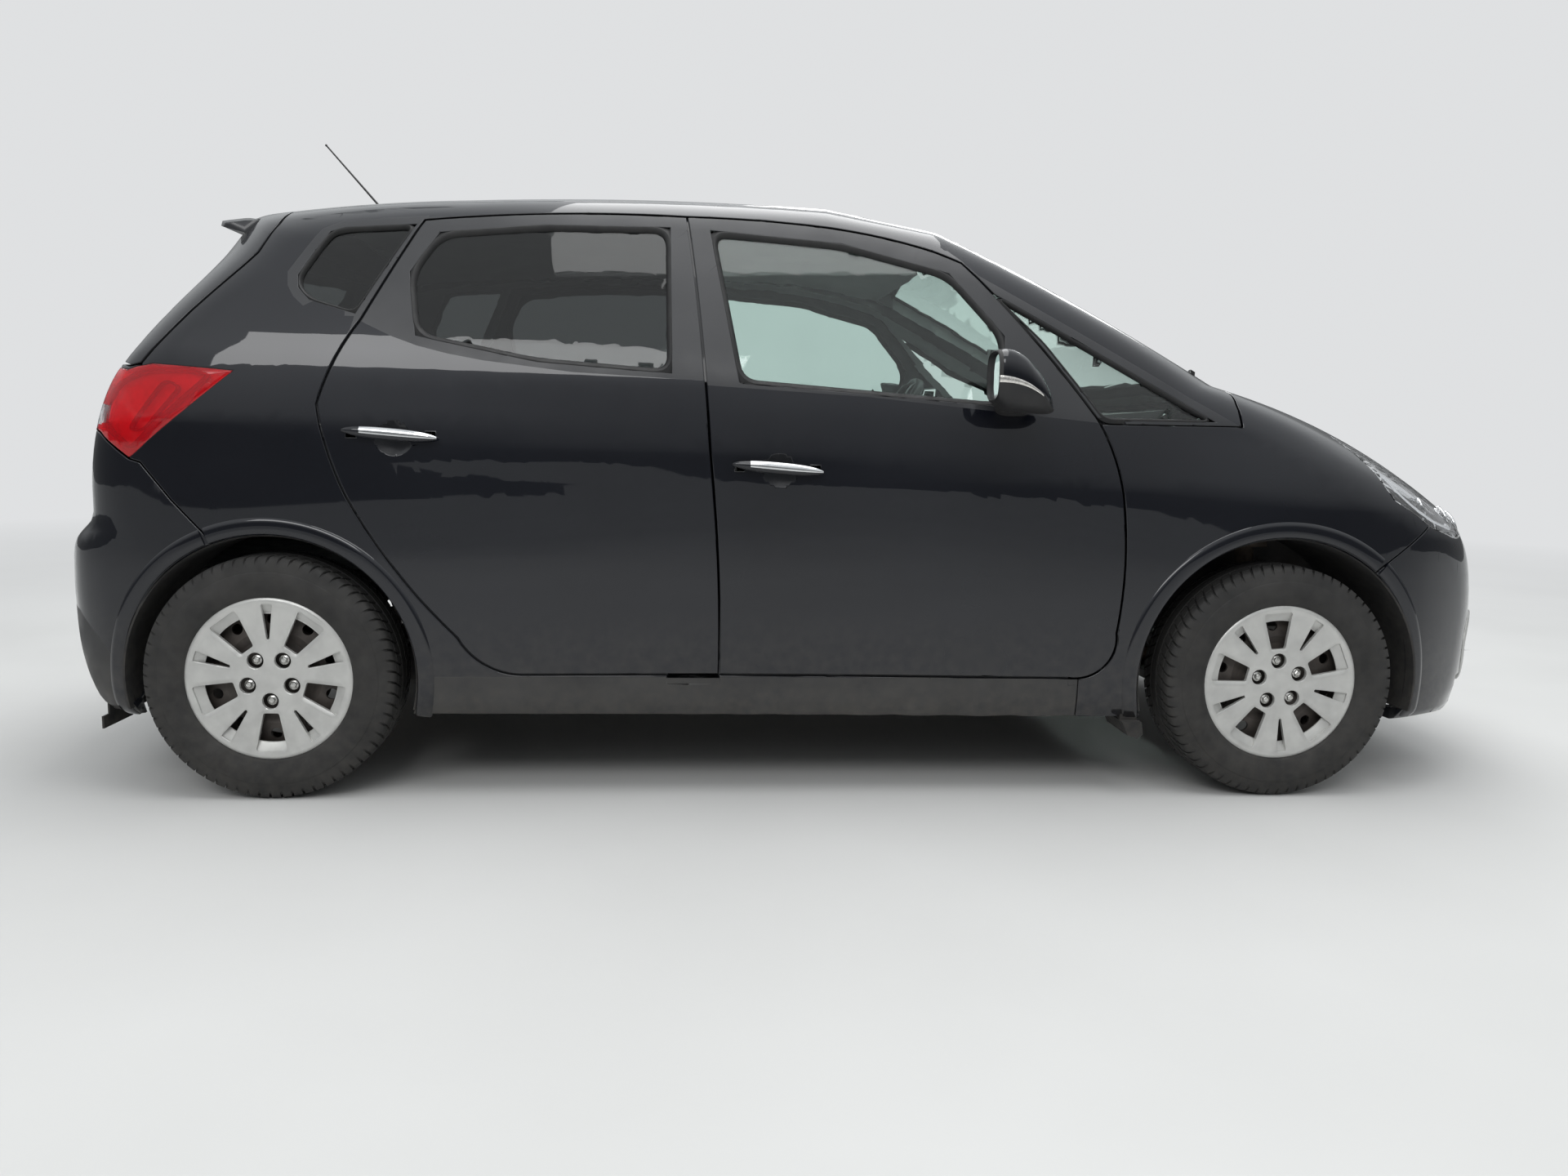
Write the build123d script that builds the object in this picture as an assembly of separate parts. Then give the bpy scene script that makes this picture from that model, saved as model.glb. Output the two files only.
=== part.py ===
from build123d import *
import os
from math import cos, pi, sin, sqrt, tan

# Compact minivan, five doors, left-hand drive. Millimetres, +X to the nose, +Y to the
# left side, +Z up, origin on the ground below the middle of the overall length.
wheelbase = 2615.0
front_axle_x = 1210.0
rear_axle_x = front_axle_x - wheelbase
front_track = 1541.0
rear_track = 1545.0
tyre_radius = 312.0
tyre_width = 196.0
rim_radius = 190.5
axle_z = tyre_radius
front_arch_radius = 385.0
rear_arch_radius = 363.0
front_arch_reach = 480.0
rear_arch_reach = 600.0
x_shift = -97.5

skin = 6.0
rebate = 12.0
shut_gap = 6.0
lip = 30.0
seal_land = 12.0
wall_half = 745.0
roof_half = 585.0
pane = 4.5
seat_gap = 0.3
floor_gauge = 30.0
hinge_set_back = 60.0
hinge_inset = 12.0
hinge_pin = 2.0
core_clear = 24.0
pocket_radius = 68.0


def path_edges(points, kinds, place):
    """Lines (L) and arcs through a middle point (A) along a list of points."""
    edges = []
    at = 0
    for kind in kinds:
        if kind == "L":
            edges.append(Line(place(points[at]), place(points[at + 1])))
            at += 1
        else:
            edges.append(ThreePointArc(*[place(p) for p in points[at:at + 3]]))
            at += 2
    return edges


def side_face(points, kinds="", y=0.0):
    """A face in the side view, from points (x, z)."""
    kinds = kinds or "L" * (len(points) - 1)
    edges = path_edges(points, kinds, lambda p: Vector(p[0], y, p[1]))
    if points[0] != points[-1]:
        edges.append(Line(Vector(points[-1][0], y, points[-1][1]), Vector(points[0][0], y, points[0][1])))
    return Face(Wire(edges))


def across(face, y0, y1):
    """The side-view face stretched across the car from y0 to y1."""
    return extrude(face.moved(Location((0, y0, 0))), amount=y1 - y0, dir=(0, 1, 0))


def plan_face(points, kinds="", z=0.0):
    """A face in plan, from points (x, y)."""
    kinds = kinds or "L" * (len(points) - 1)
    edges = path_edges(points, kinds, lambda p: Vector(p[0], p[1], z))
    if points[0] != points[-1]:
        edges.append(Line(Vector(*points[-1], z), Vector(*points[0], z)))
    return Face(Wire(edges))


def upright(face, z0, z1):
    """The plan face stretched from z0 to z1."""
    return extrude(face.moved(Location((0, 0, z0))), amount=z1 - z0, dir=(0, 0, 1))


def block(x0, x1, y0, y1, z0, z1):
    """A box between two corners."""
    return Pos((x0 + x1) / 2, (y0 + y1) / 2, (z0 + z1) / 2) * Box(x1 - x0, y1 - y0, z1 - z0)


def rod(p, q, radius):
    """A round bar from p to q."""
    p, q = Vector(*p), Vector(*q)
    return Solid.make_cylinder(radius, (q - p).length, Plane(p, z_dir=q - p))


def mirrored(shape):
    """The same shape on the other side of the car."""
    return mirror(shape, about=Plane.XZ)


def wing_pair(shape):
    """A shape and its mirror image as two solids."""
    return Compound(children=solids_of(shape) + solids_of(mirrored(shape)))


def solids_of(shape):
    """The solids in a shape, without slivers."""
    return [s for s in shape.solids() if s.volume > 200]


def main_solid(shape):
    """The largest solid of a shape."""
    return max(shape.solids(), key=lambda s: s.volume)


# Centre-line profile of the body: x, z on the centre plane, then how far a point
# 700 mm out to the side lies from it in x and z.
profile = [
    (-1850, 200, 90, 0), (-1925, 320, 90, 0), (-1950, 460, 90, 0), (-1953, 560, 90, 0), (-1940, 660, 90, 0),
    (-1880, 692, 100, 0), (-1872, 880, 100, 0), (-1830, 1060, 120, 0), (-1725, 1240, 155, -10),
    (-1610, 1420, 205, -50), (-1530, 1545, 215, -90), (-1200, 1572, 40, -85), (-850, 1590, 0, -70),
    (-250, 1600, 0, -62), (120, 1588, -30, -60), (450, 1530, -80, -55), (900, 1325, -150, -25),
    (1340, 1100, -215, -5), (1690, 990, -210, -30), (2010, 800, -200, -40), (2090, 700, -190, -20),
    (2130, 580, -180, 0), (2147, 480, -180, 0), (2135, 380, -180, 0), (2105, 270, -170, 0),
    (2040, 190, -160, 0),
]
profile_kinds = "AALAALAALAAAAAL"
# Cross-sections of the body side: x, widest half width, crease z and y, belt z and y,
# half width at the roof rail.
sections = [
    (-2100, 835, 965, 815, 1150, 770, 590), (-1300, 880, 950, 866, 1115, 822, 635),
    (-300, 872, 890, 870, 1078, 834, 652), (700, 872, 815, 870, 1000, 830, 640),
    (1500, 880, 780, 862, 950, 800, 610), (2300, 860, 740, 820, 900, 740, 560),
]
# Half outline of the body in plan, widest at the bumpers.
half_plan = [
    (-1972, 0), (-1965, 260), (-1935, 500), (-1890, 665), (-1790, 780), (-1620, 852), (-1400, 878),
    (1400, 878), (1700, 815), (1900, 705), (2030, 560), (2105, 380), (2150, 190), (2160, 0),
]
half_plan_kinds = "AAALAAA"
rail_z = 1505.0


def inset_line(points, inset, closed):
    """Points moved to the right of their path by the inset, along mean normals."""
    moved = []
    count = len(points)
    for i, (u, v) in enumerate(points):
        before = points[(i - 1) % count] if closed or i > 0 else points[i]
        after = points[(i + 1) % count] if closed or i < count - 1 else points[i]
        du, dv = after[0] - before[0], after[1] - before[1]
        size = sqrt(du * du + dv * dv)
        moved.append((u + inset * dv / size, v - inset * du / size))
    return moved


def profile_wire(y, inset):
    """The body's profile in the plane at y, moved inwards by the inset."""
    k = (y / 700.0) ** 2
    points = [(x + dx * k, z + dz * k) for x, z, dx, dz in profile]
    points = inset_line(points, inset, True)
    points.append(points[0])
    return Wire(path_edges(points, profile_kinds, lambda p: Vector(p[0] + x_shift, y, p[1])))


def section_wire(row, inset):
    """One cross-section of the body side, moved inwards by the inset."""
    x, wide_y, crease_z, crease_y, belt_z, belt_y, rail_y = row
    glass_y = (belt_y + rail_y) / 2 + 14
    half = [
        (wide_y - 40, 120), (wide_y - 8, 400), (wide_y, 620), (crease_y, crease_z), (belt_y, belt_z),
        (glass_y, (belt_z + rail_z) / 2), (rail_y, rail_z), (rail_y - 110, 1660),
    ]
    half = [(y - inset, z) for y, z in half]
    right = path_edges(half, "ALLAL", lambda p: Vector(x + x_shift, -p[0], p[1]))
    left = path_edges(half[::-1], "LALLA", lambda p: Vector(x + x_shift, p[0], p[1]))
    over = Line(right[-1] @ 1, left[0] @ 0)
    under = Line(left[-1] @ 1, right[0] @ 0)
    return Wire(right + [over] + left + [under])


def hull(inset=0.0):
    """The closed outer form of the body: side profile, cross-section and plan in one."""
    top = Solid.make_loft([profile_wire(y, inset) for y in (-900, -450, 0, 450, 900)])
    side = Solid.make_loft([section_wire(row, inset) for row in sections])
    half = inset_line(half_plan, inset, False)
    half[0] = (half[0][0], 0.0)
    half[-1] = (half[-1][0], 0.0)
    outline = path_edges(half, half_plan_kinds, lambda p: Vector(p[0] + x_shift, p[1], 0))
    outline += path_edges(half[::-1], half_plan_kinds[::-1], lambda p: Vector(p[0] + x_shift, -p[1], 0))
    outline = [e for e in outline if e.length > 0.01]
    plan = extrude(Face(Wire(outline)), amount=1800, dir=(0, 0, 1))
    return top & side & plan


front_door_line = [
    (-277, 328), (640, 322), (730, 352), (757, 440), (770, 620), (757, 798), (732, 900), (689, 993),
    (530, 1194), (346, 1399), (195, 1448), (17, 1480), (-162, 1497), (-370, 1503), (-330, 1200), (-304, 898),
    (-283, 640), (-277, 328),
]
front_door_kinds = "LAAAAAAAA"
rear_door_line = [
    (-283, 328), (-289, 640), (-310, 898), (-336, 1200), (-376, 1503), (-776, 1499), (-1041, 1473),
    (-1173, 1205), (-1225, 1115), (-1269, 997), (-1250, 905), (-1201, 772), (-1085, 590), (-937, 420),
    (-860, 345), (-770, 326), (-283, 328),
]
rear_door_kinds = "AAALAAAAL"
front_window_line = [(-235, 1070), (440, 1024), (452, 1205), (312, 1368), (30, 1440), (-312, 1466)]
rear_window_line = [
    (-405, 1090), (-416, 1471), (-740, 1468), (-1000, 1441), (-1066, 1333), (-1040, 1170), (-740, 1112),
]
front_quarter_line = [(706, 994), (1010, 994), (415, 1325), (552, 1190)]
rear_quarter_line = [
    (-1190, 1222), (-1062, 1462), (-1238, 1450), (-1275, 1437), (-1340, 1318), (-1335, 1285), (-1306, 1255),
]
tailgate_seam = [(-1410, 1700), (-1410, 1500), (-1455, 1384), (-1595, 1229), (-1705, 1094)]
tailgate_hinge_x = -1375.0
tailgate_hinge_z = 1551.0
tailgate_hinge_ys = (-160.0, 160.0)
bonnet_hinge_x = 1075.0
bonnet_hinge_z = 1066.0
tail_lamp_line = [
    (-1474, 1074), (-1666, 1088), (-1761, 1080), (-2200, 1080), (-2200, 1010), (-1828, 925), (-1730, 859),
]
rear_bumper_line = [
    (-1532, 100), (-1532, 655), (-1628, 755), (-1703, 846), (-1731, 854), (-1830, 920), (-2300, 1028),
    (-2300, 100),
]
front_bumper_line = [(1437, 100), (1437, 590), (1455, 604), (1650, 742), (2300, 742), (2300, 100)]
front_flap_line = [(786, 204.7), (838, 204.7), (843, 172), (828, 160), (802, 168)]
sill_front_x = 664.0
headlamp_line = [
    (1419, 935), (1520, 806), (1645, 725), (1745, 697), (2200, 690), (2200, 1100), (1419, 1100),
]
wing_rear_x = 773.0
hinge_y = 862.0
hinge_xs = (767.0 - hinge_set_back, -286.0 - hinge_set_back)


grille_slots = [  # z, height, half width
    (651, 12, 400), (671, 12, 402), (691, 12, 404), (312, 18, 378), (338, 18, 384), (364, 18, 390),
    (390, 18, 396), (416, 14, 402),
]


def grown(face, amount):
    """The face with its outline moved out by the amount, or in if negative."""
    return offset(face, amount=amount, kind=Kind.INTERSECTION).faces()[0]


def rear_face(points, x=0.0):
    """A face in the rear view, from points (y, z)."""
    return Face(Wire.make_polygon([Vector(x, y, z) for y, z in points], close=True))


def along(face, x0, x1):
    """The rear-view face stretched from x0 to x1."""
    return extrude(face.moved(Location((x0, 0, 0))), amount=x1 - x0, dir=(1, 0, 0))


def right_half(shape):
    """The part of a body form outside the wheels and cabin on the right."""
    return shape & block(-2300, 2300, -1000, -440, 50, 1800)


def make_cabin(inner):
    """The space for people and luggage, open to all the windows."""
    side = side_face([
        (850, 300), (850, 960), (1150, 1045), (1250, 1120), (1250, 1700), (-1900, 1700), (-1900, 560),
        (-1050, 560), (-1000, 390), (-680, 390), (-600, 300),
    ])
    cross = rear_face([
        (-wall_half, 200), (-wall_half, 985), (-900, 1060), (-900, 1700),
        (900, 1700), (900, 1060), (wall_half, 985), (wall_half, 200),
    ])
    return inner & across(side, -900, 900) & along(cross, -2200, 2200)


def wheel_space(x, radius, reach, side):
    """The round space above one wheel."""
    return rod((x, side * reach, axle_z), (x, side * 1000, axle_z), radius)


def make_door(face, window, pillar, outer, hem, cabin):
    """A door: hemmed outer skin with a thick inner part, and its window opening."""
    skin_part = (outer & across(face, -1000, -300)) - hem
    core = (hem & across(grown(face, -lip), -1000, -300)) - cabin
    core = core - block(767 - hinge_set_back - core_clear, 900, -1000, -300, 200, 1000)
    core = core - across(b_band(*pillar), -1000, -300) - block(-2000, 1000, -wall_half, 0, 100, 985)
    door = (skin_part + core) - across(window, -1000, -300)
    return main_solid(door)


def b_band(front, back):
    """The band beside the shut line of the B pillar up to the belt, in the side view."""
    line = [(-280, 150), (-304, 898), (-316, 1004)]
    return side_face([(x + front, z) for x, z in line] + [(x + back, z) for x, z in reversed(line)])


def door_hinges(x, heights):
    """Hinge halves on one axis just inside the skin: pins on arms for the body, leaves for the door."""
    body_half = []
    door_half = []
    for z in heights:
        pin = rod((x, -hinge_y, z), (x, -hinge_y, z + 14), hinge_pin)
        arm = block(x - 11, x, -hinge_y + 0.5, -hinge_y + 95, z, z + 14)
        foot = block(x - 11, x + 62, -hinge_y + 80, -hinge_y + 95, z, z + 14)
        body_half.append(pin + arm + foot)
        leaf = rod((x, -hinge_y, z + 14.3), (x, -hinge_y, z + 36), hinge_pin)
        door_half.append(leaf + block(x - 16, x, -hinge_y - 6, -hinge_y + 5, z + 14.3, z + 36))
    return body_half, door_half


def make_handle(x, z):
    """A pull handle on two feet, and the cup behind it to cut from the door."""
    bar = fillet(block(x - 113, x + 113, -884, -873, z - 13, z + 13).edges(), 4)
    feet = block(x - 108, x - 84, -876, -862, z - 9, z + 9)
    feet = feet + block(x + 84, x + 108, -876, -862, z - 9, z + 9)
    cup = Pos(x + 6, -868 - 75 + 15, z - 3) * Sphere(75)
    return bar + feet, cup


def make_pane(window, front, back):
    """A door window's glass, a seating gap inside its frame."""
    zone = across(grown(window, -seat_gap), -1000, -300)
    return main_solid((front & zone) - back)


def make_spoiler():
    """The roof spoiler: a wedge carried back from the tailgate's top edge."""
    wires = []
    for y in (-566, -300, 0, 300, 566):
        k = (y / 700) ** 2
        x = -1530 + 215 * k + x_shift
        z = 1545 - 90 * k
        drop = 4 if abs(y) > 500 else 0
        wires.append(Wire.make_polygon([
            Vector(x + 26, y, z - 14), Vector(x + 16, y, z + 1 - drop), Vector(x - 92, y, z - 16 - drop),
            Vector(x - 96, y, z - 30), Vector(x - 4, y, z - 52),
        ], close=True))
    return Solid.make_loft(wires)


def build_body(nodes):
    outer = hull()
    hem_full = hull(skin)
    inner = hull(40)
    cabin = make_cabin(inner)
    right = right_half(outer)
    hem = right_half(hem_full)
    land = right_half(hull(rebate))
    glass_back = right_half(hull(rebate + pane))

    front_face = side_face(front_door_line, front_door_kinds)
    rear_door_face = side_face(rear_door_line, rear_door_kinds)
    front_window = side_face(front_window_line)
    rear_window = side_face(rear_window_line)
    b_pillar_front = (-100, 62)
    b_pillar_rear = (-hinge_set_back - core_clear, 100)
    doors = (
        ("front", front_face, front_window, b_pillar_front),
        ("rear", rear_door_face, rear_window, b_pillar_rear),
    )
    handle_at = {"front": (-137.0, 858.0), "rear": (-1092.0, 926.0)}
    hinge_leaves = {
        "front": door_hinges(hinge_xs[0], (550, 740)), "rear": door_hinges(hinge_xs[1], (550, 780)),
    }
    for name, face, window, pillar in doors:
        door = make_door(face, window, pillar, right, hem, cabin)
        handle, cup = make_handle(*handle_at[name])
        door = main_solid(door - cup + handle)
        for leaf in hinge_leaves[name][1]:
            door = main_solid(door + leaf)
        nodes["door_%s_right" % name] = door
        nodes["door_%s_left" % name] = mirrored(door)
        glass = make_pane(window, land, glass_back)
        nodes["door_glass_%s_right" % name] = glass
        nodes["door_glass_%s_left" % name] = mirrored(glass)

    # windscreen
    screen_line = [(1010, -690), (1215, 0), (1010, 690), (310, 575), (375, 0), (310, -575), (1010, -690)]
    screen = plan_face(screen_line, "ALAL")
    screen_zone = upright(screen, 900, 1700)
    nodes["windscreen"] = main_solid((outer & upright(grown(screen, -seat_gap), 900, 1700)) - hem_full)

    # tailgate
    tail_face = side_face(tailgate_seam + [(-1705, 690), (-2200, 690), (-2200, 1700)])
    lamp_block = block(-2200, -1300, -900, -600, 600, 1094)
    tail_zone = across(tail_face, -900, 900) - lamp_block - mirrored(lamp_block)
    slim_lamp = block(-2200, -1300, -900, -600 - shut_gap, 600, 1094 - shut_gap)
    tail_hole = across(grown(tail_face, shut_gap + 1.5), -900, 900) - slim_lamp - mirrored(slim_lamp)
    rear_window_zone = rear_face([(-600, 1150), (600, 1150), (520, 1450), (-520, 1450)])
    tailgate = ((outer & tail_zone) - cabin) - along(rear_window_zone, -2100, -1300)
    spoiler = make_spoiler()
    plate_bed = along(rear_face([(-268, 765), (268, 765), (268, 885), (-268, 885)]), -2100, -1700)
    tailgate = tailgate - ((outer & plate_bed) - hem_full)
    tailgate = main_solid(main_solid(tailgate) + spoiler)
    x, z = tailgate_hinge_x, tailgate_hinge_z
    for y in tailgate_hinge_ys:
        tailgate = tailgate + rod((x, y + seat_gap, z), (x, y + 12, z), 6)
        tailgate = tailgate + block(x - 48, x, y + seat_gap, y + 12, z - 5, z + 3)
    nodes["tailgate"] = main_solid(tailgate)
    pane_zone = along(grown(rear_window_zone, -seat_gap), -2100, -1300)
    nodes["tailgate_glass"] = main_solid((outer & pane_zone) - hem_full)

    # side frames: sill, pillars and roof rail of each side, from the front wheel to the tail
    front_space = wheel_space(front_axle_x, front_arch_radius, front_arch_reach, -1)
    rear_space = wheel_space(rear_axle_x, rear_arch_radius, rear_arch_reach, -1)
    frame = right & block(-1945, 1080, -1000, -roof_half, 205, 1800)
    frame = frame - cabin
    for name, face, window, pillar in doors:
        frame = frame - (across(grown(face, shut_gap), -1000, -300) - land)
        hole = across(grown(face, -seal_land), -1000, -300)
        post = across(b_band(2, 48), -1000, -300) + across(b_band(-45, 48), -(hinge_y - 62), -300)
        frame = frame - (hole - (post & land))
    for x in hinge_xs:
        frame = frame - rod((x, -hinge_y, 300), (x, -hinge_y, 1000), pocket_radius)
    frame = frame - rod((hinge_xs[1], -hinge_y, 990), (hinge_xs[1], -hinge_y, 1070), 50)
    for name in ("front", "rear"):
        for leaf in hinge_leaves[name][0]:
            frame = frame + leaf
    frame = frame - screen_zone - tail_hole - front_space - rear_space
    frame = frame - block(-2300, 2300, -wall_half, 0, 0, 980)
    frame = frame - block(900, 1290, -640.3, 0, 940, 1300)
    frame = frame - block(wing_rear_x, 2200, -1000, -300, 150, 985)
    wing_bed = hem.moved(Location((0, seat_gap, 0)))
    frame = frame - (block(sill_front_x, 2200, -1000, -300, 150, 985) - wing_bed)
    rear_bumper_face = side_face(rear_bumper_line)
    frame = frame - across(grown(rear_bumper_face, 4), -1000, -300)
    lamp = side_face(tail_lamp_line)
    lamp_zone = across(lamp, -1000, -606)
    frame = frame - across(grown(lamp, seat_gap), -1000, -600)
    front_quarter = side_face(front_quarter_line)
    rear_quarter = side_face(rear_quarter_line)
    for face in (front_quarter, rear_quarter):
        frame = frame - across(face, -1000, -300)
    x, z = bonnet_hinge_x, bonnet_hinge_z
    bonnet_eye = rod((x, -606 - seat_gap, z), (x, -618, z), 8)
    bonnet_link = block(x - 8, x + 4, -645, -606 - seat_gap, z - 22, z)
    frame = main_solid(frame + bonnet_eye + bonnet_link)
    nodes["side_frame_right"] = frame
    flap_ring = rod((-1330, 700, 850), (-1330, 1000, 850), 84)
    flap_ring = flap_ring - rod((-1330, 700, 850), (-1330, 1000, 850), 81)
    nodes["side_frame_left"] = main_solid(mirrored(frame) - (flap_ring - mirrored(hem)))
    fixed = []
    for face in (front_quarter, rear_quarter):
        fixed += solids_of(wing_pair(make_pane(face, land, glass_back)))
    nodes["fixed_side_glass"] = Compound(children=fixed)
    lamp_solid = main_solid((right & lamp_zone) - right_half(inner))
    nodes["tail_lamps"] = wing_pair(lamp_solid)

    # roof
    roof = (outer & block(-1500, 420, -roof_half + seat_gap, roof_half - seat_gap, 1350, 1700)) - cabin
    roof = main_solid(roof - screen_zone - tail_hole)
    x, z = tailgate_hinge_x, tailgate_hinge_z
    for y in tailgate_hinge_ys:
        roof = roof - block(x - 50, x + 12, y - 12, y + 18, 1480, 1620)
        roof = roof + rod((x, y - 14, z), (x, y, z), 6)
    nodes["roof_panel"] = main_solid(roof)

    # bonnet on two hinges, wings, headlamps and bumper
    bonnet_plan = plan_face([
        (1120, -650), (1290, 0), (1120, 650), (1500, 610), (1850, 500), (1922, 0), (1850, -500),
        (1500, -610), (1120, -650),
    ], "AAAA")
    thin = hull(28)
    bonnet = (outer & upright(bonnet_plan, 600, 1300)) - thin
    x, z = bonnet_hinge_x, bonnet_hinge_z
    bonnet_arm = across(side_face([
        (x, z - 8), (1150, 1030), (1275, 995), (1275, 1012), (1150, 1052), (x, z + 8),
    ]), -606, -598)
    bonnet_arm = bonnet_arm + rod((x, -606, z), (x, -598, z), 8)
    nodes["bonnet"] = main_solid(main_solid(bonnet) + bonnet_arm + mirrored(bonnet_arm))
    hole_plan = plan_face([
        (1113, -657), (1280, 0), (1113, 657), (1500, 617), (1860, 507), (1933, 0), (1860, -507),
        (1500, -617), (1113, -657),
    ], "AAAA")
    bonnet_hole = upright(hole_plan, 560, 1300)
    cowl = ((outer & block(990, 1290, -640, 640, 960, 1250)) - thin) - bonnet_hole - screen_zone
    hinge_slot = block(900, 1300, -618, -592, 900, 1300) + block(1055, 1090, -645, -600, 1038, 1072)
    cowl = cowl - hinge_slot - mirrored(hinge_slot)
    nodes["cowl_panel"] = Compound(children=solids_of(cowl))
    front_bumper_face = side_face(front_bumper_line)
    wing = (right & block(sill_front_x + 3, 1700, -1000, -440, 205, 1200)) - hem
    wing = wing - bonnet_hole - front_space - screen_zone - across(grown(front_face, shut_gap), -1000, -300)
    head = side_face(headlamp_line)
    wing = wing - across(grown(head, 0.3), -1000, -300) - across(grown(front_bumper_face, 4), -1000, -300)
    wing = wing - block(900, 1290, -640.3, 0, 940, 1300)
    wing = wing - block(0, 1080 + shut_gap, -1000, -300, 982, 1700)
    nodes["front_wings"] = wing_pair(main_solid(wing))
    nose = right & across(head, -1000, -440)
    nose = nose - bonnet_hole - right_half(inner)
    bowls = rod((1500, -610, 800), (1900, -560, 790), 48) + rod((1500, -705, 815), (1830, -665, 805), 44)
    nose = nose - (bowls & hem)
    nodes["headlamps"] = wing_pair(main_solid(nose))
    head_cut = across(grown(head, 0.3), -1000, -430)
    bumper = outer & across(front_bumper_face, -1000, 1000)
    bumper = bumper - thin - bonnet_hole - head_cut - mirrored(head_cut)
    bumper = bumper - block(1400, 1960, -700, 700, 100, 300) - front_space - mirrored(front_space)
    grille_face = rear_face([(-420, 640), (420, 640), (430, 712), (-430, 712)])
    intake_face = rear_face([(-400, 300), (400, 300), (430, 440), (-430, 440)])
    grille_hole = along(grille_face, 1800, 2300)
    intake = along(intake_face, 1800, 2300)
    fog_hole = rod((1700, -585, 372), (2300, -585, 372), 56)
    nodes["front_bumper"] = main_solid(bumper - grille_hole - intake - fog_hole - mirrored(fog_hole))
    grille_seat = along(grown(grille_face, -seat_gap), 1800, 2300)
    intake_seat = along(grown(intake_face, -seat_gap), 1800, 2300)
    grille = (hem_full & (grille_seat + intake_seat)) - thin
    for z, height, half in grille_slots:
        for y0, y1 in ((7, half), (-half, -7)):
            grille = grille - block(1800, 2300, y0, y1, z, z + height)
    nodes["grille"] = Compound(children=solids_of(grille))
    fog = (hem_full & rod((1700, -585, 372), (2300, -585, 372), 55.7)) - thin
    nodes["fog_lamps"] = wing_pair(main_solid(fog))
    rear_side = across(rear_bumper_face, -1000, -606)
    rear = (outer & (block(-2300, -1532, -610, 610, 100, 690) + rear_side + mirrored(rear_side))) - thin
    rear = rear - rear_space - mirrored(rear_space) - block(-1900, -1500, -760, 760, 100, 300)
    rear = rear - rod((-1800, 150, 250), (-2200, 150, 230), 34)
    nodes["rear_bumper"] = main_solid(rear)
    return outer


exhaust_hangers = [  # x, y, foot z, head z, radius
    (200, -60, 246, 269.7, 12), (-500, -60, 246, 269.7, 12), (-1500, -50, 325, 529.7, 8),
    (-1720, -50, 325, 529.7, 8),
]


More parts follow.
